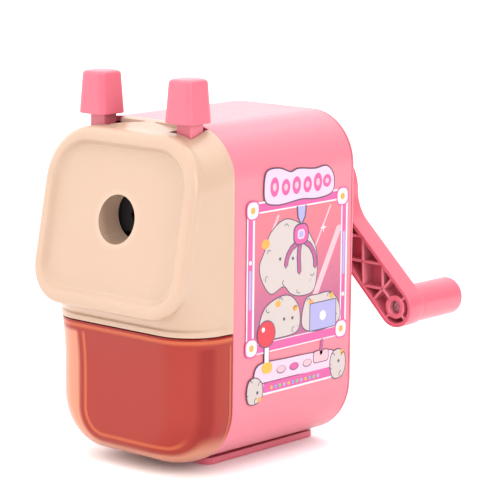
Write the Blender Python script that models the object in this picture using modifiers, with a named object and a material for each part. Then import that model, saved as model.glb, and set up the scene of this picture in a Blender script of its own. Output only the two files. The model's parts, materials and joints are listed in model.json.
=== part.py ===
"""Hand-crank desktop pencil sharpener.

A pink housing stands on a foot plate. A cream feed head closes its upper front, and slides
forwards on two steel rods against springs. Two buttons on the head open the jaws that grip the
pencil. A crank at the back turns a carrier, whose helical cutter rolls round a fixed ring gear
and planes the pencil's cone. The shavings fall into a clear drawer below.

The origin is the middle of the foot plate's underside. +Y runs back to the crank, +Z is up.
"""

import math

import bmesh
import bpy
from mathutils import Vector

MM = 0.001

# Fits
TOUCH_GAP = 0.3 * MM
RUNNING_GAP = 0.4 * MM

# Housing: a tube along Y with a rounded section
SEAM_Y = -32.0 * MM
HOUSING_DEPTH = 59.2 * MM
HALF_WIDTH = 33.0 * MM
HOUSING_TOP = 111.0 * MM
HOUSING_TOP_RADIUS = 17.3 * MM
HOUSING_BOTTOM_RADIUS = 19.6 * MM
WALL = 2.0 * MM
REAR_COVER_THICKNESS = 1.5 * MM
HOUSING_BOTTOM = 2.6 * MM
HOUSING_BACK = SEAM_Y + HOUSING_DEPTH
SHELL_BACK = HOUSING_BACK - REAR_COVER_THICKNESS
POST_RADIUS = 3.2 * MM
POST_LENGTH = 12.0 * MM

# Sharpening axis and the split between head and drawer
AXIS_Z = HOUSING_TOP - 30.0 * MM
SPLIT_Z = AXIS_Z - 34.5 * MM
PENCIL_HOLE_RADIUS = 7.75 * MM
PENCIL_BORE_RADIUS = 4.3 * MM

# Foot plate and the screws
FOOT_HALF_WIDTH = HALF_WIDTH - 15.0 * MM
FOOT_FRONT = SEAM_Y + 5.0 * MM
FOOT_BACK = HOUSING_BACK - 0.5 * MM
FOOT_THICKNESS = HOUSING_BOTTOM - TOUCH_GAP
FOOT_CORNER = 3.0 * MM
FOOT_SCREW_INSET = 6.5 * MM
SCREW_SHANK_RADIUS = 1.3 * MM
SCREW_HEAD_RADIUS = 2.6 * MM
SCREW_HEAD_HEIGHT = 1.1 * MM
SCREW_RECESS = 1.6 * MM
REAR_SCREW_LENGTH = 8.0 * MM

# Feed head
FACE_SLOPE = 0.2
RIM_FRONT = SEAM_Y - 20.9 * MM
PANEL_RECESS = 1.6 * MM
RIM_ROUNDING = 2.6 * MM
RIM_WIDTH = 6.0 * MM
RIM_HALF_WIDTH = HALF_WIDTH - 0.3 * MM
RIM_TOP = HOUSING_TOP - 2.2 * MM
RIM_BOTTOM = SPLIT_Z + 5.8 * MM
RIM_TOP_RADIUS = HOUSING_TOP_RADIUS + 0.2 * MM
RIM_BOTTOM_RADIUS = 13.0 * MM
LIP_DEPTH = 19.0 * MM
LIP_RADIUS = 14.5 * MM
LIP_HEIGHT = 2.2 * MM
LIP_BANDS = (0.8 * MM, 1.6 * MM)
TUNNEL_DEPTH = 9.9 * MM
TUNNEL_WALL = 1.6 * MM
TUNNEL_MOUTH = 1.5 * MM

# Clamp plate, levers and buttons
CLAMP_THICKNESS = 1.9 * MM
CLAMP_TAPER = 0.8 * MM
LEVER_THICKNESS = 5.8 * MM
LEVER_BACK = SEAM_Y - 2.5 * MM
PIVOT_X = 15.0 * MM
PIVOT_Z = AXIS_Z + 16.0 * MM
PIVOT_PIN_RADIUS = 1.5 * MM
PIN_HEAD = 1.0 * MM
JAW_HALF_GAP = 1.5 * MM
JAW_EYE = 4.2 * MM
NECK_INNER_X = PIVOT_X + 0.6 * MM
NECK_OUTER_X = PIVOT_X + 6.9 * MM
NECK_FOOT_Z = HOUSING_TOP - 7.4 * MM
CAP_X = PIVOT_X + 3.7 * MM
CAP_Y = SEAM_Y - 6.2 * MM
CAP_BASE_Z = HOUSING_TOP + 1.0 * MM
CAP_TOP_Z = HOUSING_TOP + 15.0 * MM
CAP_BASE_SIZE = (11.6 * MM, 11.9 * MM)
CAP_TOP_SIZE = (9.7 * MM, 10.2 * MM)
CAP_CROWN = 1.0 * MM
SQUEEZE_ANGLE = math.radians(9.0)
SLOT_DEPTH = 8.9 * MM
RAMP_LENGTH = 11.0 * MM
RAMP_DEPTHS = (0.6 * MM, 2.0 * MM)

# Guide rods and springs
ROD_X = HALF_WIDTH - 7.0 * MM
ROD_Z = AXIS_Z - 11.0 * MM
ROD_RADIUS = 1.7 * MM
ROD_BACK = HOUSING_BACK - 5.2 * MM
ROD_FLANGE = 1.2 * MM
ROD_CLIP_RADIUS = 3.6 * MM
ROD_CLIP_THICKNESS = 1.0 * MM
ROD_CLIP_INSET = 0.8 * MM
SPRING_WIRE = 0.35 * MM
SPRING_RADIUS = 2.75 * MM
SPRING_TURNS = 7
LEVER_SPRING_WIRE = 0.3 * MM
LEVER_SPRING_RADIUS = 2.0 * MM
LEVER_SPRING_TURNS = 6

# Inner frame
FRAME_FRONT = SEAM_Y + 2.2 * MM
FRAME_THICKNESS = 3.0 * MM
FRAME_BACK = FRAME_FRONT + FRAME_THICKNESS
SHELF_THICKNESS = 2.2 * MM
SHELF_STEP = 0.2 * MM
SHELF_BACK = HOUSING_BACK - 3.2 * MM
CHUTE_HALF_WIDTH = HALF_WIDTH - 12.0 * MM
CHUTE_FRONT = SEAM_Y + 9.0 * MM
CHUTE_BACK = HOUSING_BACK - 15.2 * MM

# Cutter and gears, all aimed at one apex on the sharpening axis
CONE_ANGLE = math.radians(11.0)
PENCIL_TIP_Y = HOUSING_BACK - 21.2 * MM
CUTTER_RADIUS = 7.0 * MM
CUTTER_LENGTH = PENCIL_TIP_Y - SEAM_Y - 10.0 * MM
CUTTER_SETBACK = 1.5 * MM
CUTTER_FLUTES = 14
CUTTER_FLUTE_DEPTH = 0.9 * MM
CUTTER_TWIST = math.radians(75.0)
APEX_Y = PENCIL_TIP_Y + CUTTER_RADIUS / math.sin(CONE_ANGLE)
AXLE_RADIUS = 1.5 * MM
AXLE_FRONT_Y = SEAM_Y + 6.5 * MM
AXLE_BACK_Y = HOUSING_BACK - 7.6 * MM
PINION_TEETH = 12
RING_TEETH = 25
PINION_FACE = 3.5 * MM
PINION_LEAD = 0.45 * MM
PINION_CONE = math.atan(
    math.sin(CONE_ANGLE) / (RING_TEETH / PINION_TEETH - math.cos(CONE_ANGLE))
)
RING_CONE = PINION_CONE + CONE_ANGLE
RING_OUTER_RADIUS = 13.5 * MM
RING_FRONT = HOUSING_BACK - 14.0 * MM
RING_THICKNESS = 4.4 * MM
RING_TOOTH_SHARE = 0.62
PINION_FAR = (APEX_Y - RING_FRONT + PINION_LEAD) / math.cos(CONE_ANGLE)
TOOTH_ROOT = 1.15
TOOTH_TIP = 0.75

# Carrier: front ring with a lug, two rails, two discs and the shaft
CARRIER_RING_RADIUS = 10.0 * MM
CARRIER_FRONT = SEAM_Y + 2.5 * MM
CARRIER_PLATE_BACK = SEAM_Y + 8.5 * MM
CARRIER_DISC_FRONT = HOUSING_BACK - 19.6 * MM
CARRIER_DISC_BACK = CARRIER_DISC_FRONT + 3.4 * MM
CARRIER_DISC_RADIUS = 10.4 * MM
CARRIER_REAR_FRONT = HOUSING_BACK - 8.9 * MM
CARRIER_REAR_BACK = CARRIER_REAR_FRONT + 3.0 * MM
CARRIER_REAR_RADIUS = 8.4 * MM
LUG_HALF_WIDTH = 4.5 * MM
LUG_WALL = 1.7 * MM
RAIL_INNER_X = 6.8 * MM
RAIL_OUTER_X = 9.3 * MM
RAIL_HEIGHTS = (0.5 * MM, 3.3 * MM)
PILLAR_HALF_WIDTH = 3.8 * MM
PILLAR_HEIGHTS = (3.6 * MM, CUTTER_RADIUS)
SHAFT_RADIUS = 3.6 * MM
HEX_RADIUS = 3.9 * MM

# Bearing cup behind the rear cover
CUP_RADIUS = 15.2 * MM
CUP_FLANGE_RADIUS = 18.0 * MM
CUP_FLANGE_THICKNESS = 2.0 * MM
CUP_NOSE_RADIUS = 9.0 * MM
CUP_CAVITY_RADIUS = 11.5 * MM
CUP_CAVITY_BACK = HOUSING_BACK - 3.2 * MM
CUP_BACK = HOUSING_BACK + 14.8 * MM

# Crank and grip
ARM_FRONT = HOUSING_BACK + 16.3 * MM
ARM_THICKNESS = 8.0 * MM
ARM_BACK = ARM_FRONT + ARM_THICKNESS
ARM_FLOOR = 2.0 * MM
ARM_HALF_WIDTH = 6.6 * MM
ARM_WALL = 1.5 * MM
ARM_END_RADIUS = 6.9 * MM
HUB_RADIUS = 15.5 * MM
HUB_FILLET = 14.0 * MM
HUB_BOSS_RADIUS = 7.0 * MM
HUB_SPOKES = 6
SCREW_SEAT = ARM_BACK - 1.8 * MM
HEX_FLOOR = ARM_BACK - 3.1 * MM
CRANK_SCREW_LENGTH = 10.0 * MM
CRANK_RADIUS = 52.5 * MM
CRANK_ANGLE = math.radians(-44.0)
RIB_THICKNESS = 1.2 * MM
RIB_DROP = 0.4 * MM
RIB_PITCH = 12.0 * MM
RIB_CROSSES = 3
LAST_CROSS = CRANK_RADIUS - 7.8 * MM
GRIP_RADIUS = 6.4 * MM
GRIP_LENGTH = 22.2 * MM
GRIP_ROUNDING = 1.5 * MM
GRIP_BOSS_RADIUS = 3.9 * MM
GRIP_BOSS_BORE = 2.3 * MM
GRIP_BOSS_DEPTH = 4.2 * MM
STEM_RADIUS = 1.3 * MM
STEM_CAP_RADIUS = 2.0 * MM
STEM_CAP_LENGTH = 1.6 * MM
GRIP_X = CRANK_RADIUS * math.cos(CRANK_ANGLE)
GRIP_Z = AXIS_Z + CRANK_RADIUS * math.sin(CRANK_ANGLE)

# Shavings drawer
DRAWER_TOP = SPLIT_Z - TOUCH_GAP
DRAWER_FRONT = SEAM_Y - 17.3 * MM
DRAWER_FLARE = 1.7 * MM
DRAWER_FLARE_Z = DRAWER_TOP - 16.2 * MM
DRAWER_BACK = HOUSING_BACK - 7.2 * MM
DRAWER_WALL = 2.0 * MM
DRAWER_BOTTOM_ROUNDING = 8.0 * MM
DRAWER_FACE_CORNER = 9.0 * MM
TRAY_STEP = 1.2 * MM

# Facets
CORNER_STEPS = 7
EDGE_STEPS = 3
ROUND_STEPS = 24
FINE_STEPS = 12


# ---------------------------------------------------------------- scene and materials


def clear_scene():
    for item in list(bpy.data.objects):
        bpy.data.objects.remove(item, do_unlink=True)


def new_collection(name):
    collection = bpy.data.collections.new(name)
    bpy.context.scene.collection.children.link(collection)
    return collection


def plastic(name, colour, roughness=0.35, metallic=0.0, transmission=0.0):
    """A Principled material in one colour."""
    material = bpy.data.materials.new(name)
    material.use_nodes = True
    shader = material.node_tree.nodes["Principled BSDF"]
    shader.inputs["Base Color"].default_value = (*colour, 1.0)
    shader.inputs["Roughness"].default_value = roughness
    shader.inputs["Metallic"].default_value = metallic
    shader.inputs["Transmission Weight"].default_value = transmission
    material.diffuse_color = (*colour, 1.0)
    return material


clear_scene()
PARTS = new_collection("pencil_sharpener")
CUTTERS = new_collection("cutters")
PINK = plastic("pink_plastic", (0.90, 0.27, 0.36))
CREAM = plastic("cream_plastic", (0.86, 0.66, 0.50))
AMBER = plastic("clear_orange_plastic", (0.60, 0.10, 0.06), 0.15, 0.0, 0.6)
DARK = plastic("dark_plastic", (0.03, 0.03, 0.035), 0.5)
STEEL = plastic("steel", (0.60, 0.60, 0.62), 0.3, 1.0)
HARD_STEEL = plastic("hardened_steel", (0.32, 0.32, 0.34), 0.35, 1.0)
CASTING = plastic("zinc_casting", (0.45, 0.45, 0.47), 0.45, 1.0)
BRASS = plastic("brass", (0.70, 0.50, 0.20), 0.35, 1.0)


# ---------------------------------------------------------------- building tools


def place(mesh, name, material, location=(0, 0, 0), rotation=(0, 0, 0)):
    """An object in the parts collection, shaded smooth with sharp edges kept."""
    mesh.materials.clear()
    mesh.materials.append(material)
    item = bpy.data.objects.new(name, mesh)
    item.location = location
    item.rotation_euler = rotation
    PARTS.objects.link(item)
    mesh.shade_smooth()
    mesh.set_sharp_from_angle(angle=math.radians(35))
    return item


def loft(name, loops, material, ring=False, location=(0, 0, 0), rotation=(0, 0, 0)):
    """Skins equal-sized loops in turn. The ends are capped, or joined if ring is true."""
    builder = bmesh.new()
    rows = [[builder.verts.new(point) for point in loop] for loop in loops]
    pairs = list(zip(rows, rows[1:]))
    if ring:
        pairs.append((rows[-1], rows[0]))
    else:
        builder.faces.new(rows[0])
        builder.faces.new(rows[-1])
    count = len(rows[0])
    for one, two in pairs:
        for i in range(count):
            j = (i + 1) % count
            builder.faces.new((one[i], one[j], two[j], two[i]))
    bmesh.ops.recalc_face_normals(builder, faces=builder.faces)
    mesh = bpy.data.meshes.new(name)
    builder.to_mesh(mesh)
    builder.free()
    return place(mesh, name, material, location, rotation)


def flat_piece(name, outlines, front, back, material):
    """A plate in the XZ plane from flat outlines; the ones after the first are holes."""
    curve = bpy.data.curves.new(name, "CURVE")
    curve.dimensions = "2D"
    curve.fill_mode = "BOTH"
    curve.extrude = abs(back - front) / 2
    for outline in outlines:
        spline = curve.splines.new("POLY")
        spline.points.add(len(outline) - 1)
        for point, (x, z) in zip(spline.points, outline):
            point.co = (x, z, 0, 1)
        spline.use_cyclic_u = True
    item = bpy.data.objects.new(name, curve)
    item.location = (0, (front + back) / 2, 0)
    item.rotation_euler = (math.pi / 2, 0, 0)
    return curve_to_mesh(item, name, material)


def curve_to_mesh(item, name, material):
    """The curve's solid as a welded mesh object in the same place."""
    PARTS.objects.link(item)
    bpy.context.view_layer.update()
    solid = item.evaluated_get(bpy.context.evaluated_depsgraph_get())
    mesh = bpy.data.meshes.new_from_object(solid)
    matrix = item.matrix_world.copy()
    bpy.data.objects.remove(item)
    builder = bmesh.new()
    builder.from_mesh(mesh)
    bmesh.ops.remove_doubles(builder, verts=builder.verts, dist=1e-6)
    bmesh.ops.recalc_face_normals(builder, faces=builder.faces)
    builder.to_mesh(mesh)
    builder.free()
    result = place(mesh, name, material)
    result.matrix_world = matrix
    return result


def turned(name, profile, material, location, rotation, steps=ROUND_STEPS):
    """A body of revolution about its own Z. The profile of (radius, height) runs down outside."""
    closed = profile[0][0] > 0 and profile[-1][0] > 0
    mesh = bpy.data.meshes.new(name)
    edges = [(i, i + 1) for i in range(len(profile) - 1)]
    if closed:
        edges.append((len(profile) - 1, 0))
    mesh.from_pydata([(r, 0, z) for r, z in profile], edges, [])
    item = place(mesh, name, material, location, rotation)
    screw = item.modifiers.new("turn", "SCREW")
    screw.steps = steps
    screw.render_steps = steps
    screw.use_merge_vertices = True
    screw.merge_threshold = 0.00001
    screw.use_smooth_shade = True
    return item


ALONG_Y = (-math.pi / 2, 0, 0)


def turned_y(name, profile, material, x=0.0, z=AXIS_Z, steps=ROUND_STEPS):
    """A turned piece about an axis along Y; its profile gives (radius, y) from back to front."""
    return turned(name, profile, material, (x, 0, z), ALONG_Y, steps)


def rod_y(name, radius, front, back, material, x=0.0, z=AXIS_Z, steps=FINE_STEPS):
    """A plain round bar along Y."""
    profile = [(0, back), (radius, back), (radius, front), (0, front)]
    return turned_y(name, profile, material, x, z, steps)


def box(name, low, high, material):
    """A rectangular block between two corners."""
    bpy.ops.mesh.primitive_cube_add(size=1)
    cube = bpy.context.object
    size = Vector(high) - Vector(low)
    for vertex in cube.data.vertices:
        vertex.co = Vector(v * s for v, s in zip(vertex.co, size))
    mesh = cube.data
    bpy.data.objects.remove(cube)
    return place(mesh, name, material, (Vector(high) + Vector(low)) / 2)


def as_tool(item):
    """Moves an object to the cutters collection, out of the finished model."""
    for collection in list(item.users_collection):
        collection.objects.unlink(item)
    CUTTERS.objects.link(item)
    item.hide_render = True
    item.display_type = "WIRE"
    item.name = "tool_" + item.name


def combine(target, tools, operation):
    for tool in tools:
        as_tool(tool)
        boolean = target.modifiers.new(tool.name, "BOOLEAN")
        boolean.object = tool
        boolean.operation = operation
    return target


def cut(target, *tools):
    return combine(target, tools, "DIFFERENCE")


def join(target, *tools):
    return combine(target, tools, "UNION")


def arc(centre, radius, start, end, steps):
    """Points on an arc, both ends included; angles in degrees."""
    points = []
    for k in range(steps + 1):
        angle = math.radians(start + (end - start) * k / steps)
        x = centre[0] + radius * math.cos(angle)
        z = centre[1] + radius * math.sin(angle)
        points.append((x, z))
    return points


def circle(centre, radius, steps=24):
    return arc(centre, radius, 0, 360, steps)[:-1]


def between(start, end, steps):
    """The inner points that divide a straight edge."""
    points = []
    for k in range(1, steps):
        t = k / steps
        points.append(tuple(a + (b - a) * t for a, b in zip(start, end)))
    return points


def rounded(half_width, top, bottom, top_radius, bottom_radius, edge_steps=1):
    """A rounded outline in (x, z), anticlockwise from the lower right corner's start."""
    low = bottom + bottom_radius
    high = top - top_radius
    corners = [
        arc((half_width - bottom_radius, low), bottom_radius, -90, 0, CORNER_STEPS),
        arc((half_width - top_radius, high), top_radius, 0, 90, CORNER_STEPS),
        arc((top_radius - half_width, high), top_radius, 90, 180, CORNER_STEPS),
        arc((bottom_radius - half_width, low), bottom_radius, 180, 270, CORNER_STEPS),
    ]
    points = []
    for k, corner in enumerate(corners):
        after = corners[(k + 1) % 4][0]
        points += corner + between(corner[-1], after, edge_steps)
    return points


def at_depth(outline, y):
    return [(x, y, z) for x, z in outline]


def on_face(outline, front):
    """Lays an outline on the head's sloping face, whose y at the sharpening axis is front."""
    return [(x, front + FACE_SLOPE * (z - AXIS_Z), z) for x, z in outline]


def housing_outline(inset=0.0):
    return rounded(
        HALF_WIDTH - inset,
        HOUSING_TOP - inset,
        HOUSING_BOTTOM + inset,
        HOUSING_TOP_RADIUS - inset,
        HOUSING_BOTTOM_RADIUS - inset,
    )


# ---------------------------------------------------------------- housing


def make_housing():
    """The open tube, with two posts for the rear screws and holes for the foot screws."""
    loops = [
        at_depth(housing_outline(), SEAM_Y),
        at_depth(housing_outline(), SHELL_BACK - TOUCH_GAP),
        at_depth(housing_outline(WALL), SHELL_BACK - TOUCH_GAP),
        at_depth(housing_outline(WALL), SEAM_Y),
    ]
    shell = loft("housing_shell", loops, PINK, ring=True)
    for k, (x, z) in enumerate(rear_screw_places()):
        back = SHELL_BACK - 2 * TOUCH_GAP
        front = back - POST_LENGTH
        join(shell, rod_y(f"post_{k}", POST_RADIUS, front, back, PINK, x, z))
        radius = SCREW_SHANK_RADIUS + TOUCH_GAP
        hole = (front + 2 * MM, back + 1 * MM)
        cut(shell, rod_y(f"post_hole_{k}", radius, *hole, PINK, x, z))
    for k, (x, y) in enumerate(foot_screw_places()):
        radius = SCREW_SHANK_RADIUS + TOUCH_GAP
        low = HOUSING_BOTTOM - 1 * MM
        high = HOUSING_BOTTOM + WALL + 1 * MM
        cut(shell, rod_z(f"floor_hole_{k}", radius, low, high, PINK, x, y))
    return shell


def rod_z(name, radius, low, high, material, x, y, steps=FINE_STEPS):
    """A plain round bar that stands upright."""
    profile = [(0, high), (radius, high), (radius, low), (0, low)]
    return turned(name, profile, material, (x, y, 0), (0, 0, 0), steps)


def rear_screw_places():
    """In the two upper corners, where the posts grow out of the wall."""
    reach = (HOUSING_TOP_RADIUS - WALL - POST_RADIUS + 0.9 * MM) / math.sqrt(2)
    x = HALF_WIDTH - HOUSING_TOP_RADIUS + reach
    z = HOUSING_TOP - HOUSING_TOP_RADIUS + reach
    return [(-x, z), (x, z)]


def foot_screw_places():
    x = FOOT_HALF_WIDTH - FOOT_SCREW_INSET
    near = FOOT_FRONT + FOOT_SCREW_INSET
    far = FOOT_BACK - FOOT_SCREW_INSET
    return [(-x, near), (x, near), (-x, far), (x, far)]


def make_rear_cover():
    hole = circle((0, AXIS_Z), CUP_RADIUS + TOUCH_GAP, ROUND_STEPS)
    outlines = [housing_outline(), hole]
    for x, z in rear_screw_places():
        outlines.append(circle((x, z), SCREW_SHANK_RADIUS + TOUCH_GAP, FINE_STEPS))
    flat_piece("rear_cover", outlines, SHELL_BACK, HOUSING_BACK, PINK)
    for k, (x, z) in enumerate(rear_screw_places()):
        back = HOUSING_BACK + TOUCH_GAP + SCREW_HEAD_HEIGHT
        seat = HOUSING_BACK + TOUCH_GAP
        tip = SHELL_BACK - REAR_SCREW_LENGTH
        profile = [
            (0, back),
            (SCREW_HEAD_RADIUS * 0.7, back),
            (SCREW_HEAD_RADIUS, back - SCREW_HEAD_HEIGHT * 0.5),
            (SCREW_HEAD_RADIUS, seat),
            (SCREW_SHANK_RADIUS, seat),
            (SCREW_SHANK_RADIUS, tip),
            (0, tip),
        ]
        turned_y(f"rear_screw_{k + 1}", profile, STEEL, x, z, FINE_STEPS)


def make_foot():
    """A plate under the floor, held by four sunk screws."""
    corner = FOOT_CORNER
    low = (-FOOT_HALF_WIDTH + corner, FOOT_FRONT + corner)
    high = (FOOT_HALF_WIDTH - corner, FOOT_BACK - corner)
    outline = (
        arc((high[0], low[1]), corner, -90, 0, 4)
        + arc((high[0], high[1]), corner, 0, 90, 4)
        + arc((low[0], high[1]), corner, 90, 180, 4)
        + arc((low[0], low[1]), corner, 180, 270, 4)
    )
    loops = [[(x, y, z) for x, y in outline] for z in (0, FOOT_THICKNESS)]
    plate = loft("foot_plate", loops, PINK)
    for k, (x, y) in enumerate(foot_screw_places()):
        through = SCREW_SHANK_RADIUS + TOUCH_GAP
        sink = SCREW_HEAD_RADIUS + TOUCH_GAP
        top = FOOT_THICKNESS + 1 * MM
        cut(plate, rod_z(f"foot_hole_{k}", through, -1 * MM, top, PINK, x, y))
        cut(plate, rod_z(f"foot_sink_{k}", sink, -1 * MM, SCREW_RECESS, PINK, x, y))
        seat = SCREW_RECESS - TOUCH_GAP
        tip = HOUSING_BOTTOM + WALL - TOUCH_GAP
        profile = [
            (0, tip),
            (SCREW_SHANK_RADIUS, tip),
            (SCREW_SHANK_RADIUS, seat),
            (SCREW_HEAD_RADIUS, seat),
            (SCREW_HEAD_RADIUS, seat - SCREW_HEAD_HEIGHT),
            (0, seat - SCREW_HEAD_HEIGHT),
        ]
        turned(f"foot_screw_{k + 1}", profile, STEEL, (x, y, 0), (0, 0, 0), FINE_STEPS)


def make_inner_frame():
    """The front bearing plate and the shelf below the cutter, with its chip chute."""
    inset = WALL + TOUCH_GAP
    floor = SPLIT_Z + TOUCH_GAP
    outline = rounded(
        HALF_WIDTH - inset,
        HOUSING_TOP - inset,
        floor,
        HOUSING_TOP_RADIUS - inset,
        1 * MM,
    )
    bearing = circle((0, AXIS_Z), CARRIER_RING_RADIUS + RUNNING_GAP, ROUND_STEPS)
    outlines = [outline, bearing]
    for side in (-1, 1):
        bore = ROD_RADIUS + RUNNING_GAP
        outlines.append(circle((side * ROD_X, ROD_Z), bore, FINE_STEPS))
    frame = flat_piece("inner_frame", outlines, FRAME_FRONT, FRAME_BACK, DARK)
    edge = HALF_WIDTH - inset
    top = floor + SHELF_THICKNESS
    low = (-edge, FRAME_BACK - 1 * MM, floor + SHELF_STEP)
    shelf = box("shelf", low, (edge, SHELF_BACK, top), DARK)
    join(frame, shelf)
    low = (-CHUTE_HALF_WIDTH, CHUTE_FRONT, floor - 1 * MM)
    high = (CHUTE_HALF_WIDTH, CHUTE_BACK, top + 1 * MM)
    cut(frame, box("chute", low, high, DARK))


# ---------------------------------------------------------------- feed head


def lip_depth(x):
    """How far the lip stands in front of the seam at a given x."""
    reach = abs(x) - (HALF_WIDTH - LIP_RADIUS)
    if reach <= 0:
        return LIP_DEPTH
    return LIP_DEPTH - LIP_RADIUS + math.sqrt(max(LIP_RADIUS**2 - reach**2, 0))


def head_seam_outline(inset=0.0):
    return rounded(
        HALF_WIDTH - inset,
        HOUSING_TOP - inset,
        SPLIT_Z + inset,
        HOUSING_TOP_RADIUS - inset,
        0.6 * MM,
        EDGE_STEPS,
    )


def lip_loop(z, band):
    """The seam outline whose lower edge is carried forwards along the lip."""
    loop = []
    seam = head_seam_outline()
    for k, (x, z_seam) in enumerate(seam):
        lower = k <= CORNER_STEPS or k >= len(seam) - EDGE_STEPS - CORNER_STEPS
        if lower:
            angle = math.pi / 2 * min(k, len(seam) - EDGE_STEPS - k) / CORNER_STEPS
            if k <= CORNER_STEPS:
                x = HALF_WIDTH - LIP_RADIUS * (1 - math.sin(angle))
            elif k <= len(seam) - EDGE_STEPS:
                x = -HALF_WIDTH + LIP_RADIUS * (1 - math.sin(angle))
            loop.append((x, SEAM_Y - lip_depth(x), z))
        else:
            loop.append((x, SEAM_Y - band, z_seam))
    return loop


def rim_outline(inset=0.0):
    return rounded(
        RIM_HALF_WIDTH - inset,
        RIM_TOP - inset,
        RIM_BOTTOM + inset,
        RIM_TOP_RADIUS - inset,
        RIM_BOTTOM_RADIUS - inset,
        EDGE_STEPS,
    )


def make_head_cover():
    """A hollow front: flush with the housing at the seam, with a sunk sloping panel."""
    r = RIM_ROUNDING
    loops = [
        on_face(rim_outline(RIM_WIDTH), RIM_FRONT + PANEL_RECESS + WALL),
        at_depth(head_seam_outline(WALL), SEAM_Y),
        at_depth(head_seam_outline(), SEAM_Y),
        lip_loop(SPLIT_Z, LIP_BANDS[0]),
        lip_loop(SPLIT_Z + LIP_HEIGHT, LIP_BANDS[1]),
    ]
    for angle in (0, 30, 60, 90):
        sweep = math.radians(angle)
        inset = r * (1 - math.cos(sweep))
        loops.append(on_face(rim_outline(inset), RIM_FRONT + r * (1 - math.sin(sweep))))
    loops.append(on_face(rim_outline(RIM_WIDTH - PANEL_RECESS), RIM_FRONT))
    loops.append(on_face(rim_outline(RIM_WIDTH), RIM_FRONT + PANEL_RECESS))
    cover = loft("head_cover", loops, CREAM)

    panel = RIM_FRONT + PANEL_RECESS
    sleeve_back = SEAM_Y - TUNNEL_DEPTH
    ring = circle((0, AXIS_Z), PENCIL_HOLE_RADIUS + TUNNEL_WALL, ROUND_STEPS)
    sleeve = [on_face(ring, panel + WALL / 2), at_depth(ring, sleeve_back)]
    join(cover, loft("sleeve", sleeve, CREAM))
    ring = circle((0, AXIS_Z), PENCIL_HOLE_RADIUS + TUNNEL_MOUTH, ROUND_STEPS)
    hole = [on_face(ring, panel - 3 * MM)]
    for angle in (0, 22.5, 45, 67.5, 90):
        turn = math.radians(angle)
        radius = PENCIL_HOLE_RADIUS + TUNNEL_MOUTH * (1 - math.sin(turn))
        ring = circle((0, AXIS_Z), radius, ROUND_STEPS)
        hole.append(on_face(ring, panel + TUNNEL_MOUTH * (1 - math.cos(turn))))
    hole.append(at_depth(ring, sleeve_back + 1 * MM))
    cut(cover, loft("pencil_hole", hole, CREAM))

    for side in (-1, 1):
        cut(cover, *slot_tools(side))


def swing(x, z, angle):
    """Turns a point inwards about the right-hand lever's pivot."""
    dx = x - PIVOT_X
    dz = z - PIVOT_Z
    turned_x = PIVOT_X + dx * math.cos(angle) - dz * math.sin(angle)
    turned_z = PIVOT_Z + dx * math.sin(angle) + dz * math.cos(angle)
    return turned_x, turned_z


def slot_tools(side):
    """The notch a neck swings in, and the shallow ramp that runs into it."""
    inner = swing(NECK_INNER_X, HOUSING_TOP, SQUEEZE_ANGLE)[0] - TOUCH_GAP
    outer = NECK_OUTER_X + RUNNING_GAP
    low = min(side * inner, side * outer)
    high = max(side * inner, side * outer)
    name = "left" if side < 0 else "right"
    bottom = NECK_FOOT_Z
    notch = box(
        f"{name}_notch",
        (low, SEAM_Y - SLOT_DEPTH, bottom),
        (high, SEAM_Y + 1 * MM, HOUSING_TOP + 2 * MM),
        CREAM,
    )
    start = inner - RAMP_LENGTH
    end = inner + 0.5 * MM
    outline = [
        (side * start, HOUSING_TOP - RAMP_DEPTHS[0]),
        (side * end, HOUSING_TOP - RAMP_DEPTHS[1]),
        (side * end, HOUSING_TOP + 2.0 * MM),
        (side * start, HOUSING_TOP + 2.0 * MM),
    ]
    front = SEAM_Y - SLOT_DEPTH + 0.2 * MM
    back = SEAM_Y - 3.2 * MM
    ramp = flat_piece(f"{name}_ramp", [outline], front, back, CREAM)
    return notch, ramp


def make_clamp_plate():
    """The plate that closes the head's back and carries the rods and the lever pins."""
    inset = WALL + RUNNING_GAP + CLAMP_TAPER
    outline = rounded(
        HALF_WIDTH - inset,
        HOUSING_TOP - inset,
        SPLIT_Z + inset + CLAMP_TAPER,
        HOUSING_TOP_RADIUS - inset,
        2 * MM,
    )
    outlines = [outline, circle((0, AXIS_Z), PENCIL_BORE_RADIUS + 1 * MM, 20)]
    for side in (-1, 1):
        outlines.append(circle((side * ROD_X, ROD_Z), ROD_RADIUS + TOUCH_GAP, FINE_STEPS))
        pin = (side * PIVOT_X, PIVOT_Z)
        outlines.append(circle(pin, PIVOT_PIN_RADIUS + TOUCH_GAP, FINE_STEPS))
    back = SEAM_Y - TOUCH_GAP
    flat_piece("clamp_plate", outlines, back - CLAMP_THICKNESS, back, DARK)


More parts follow.
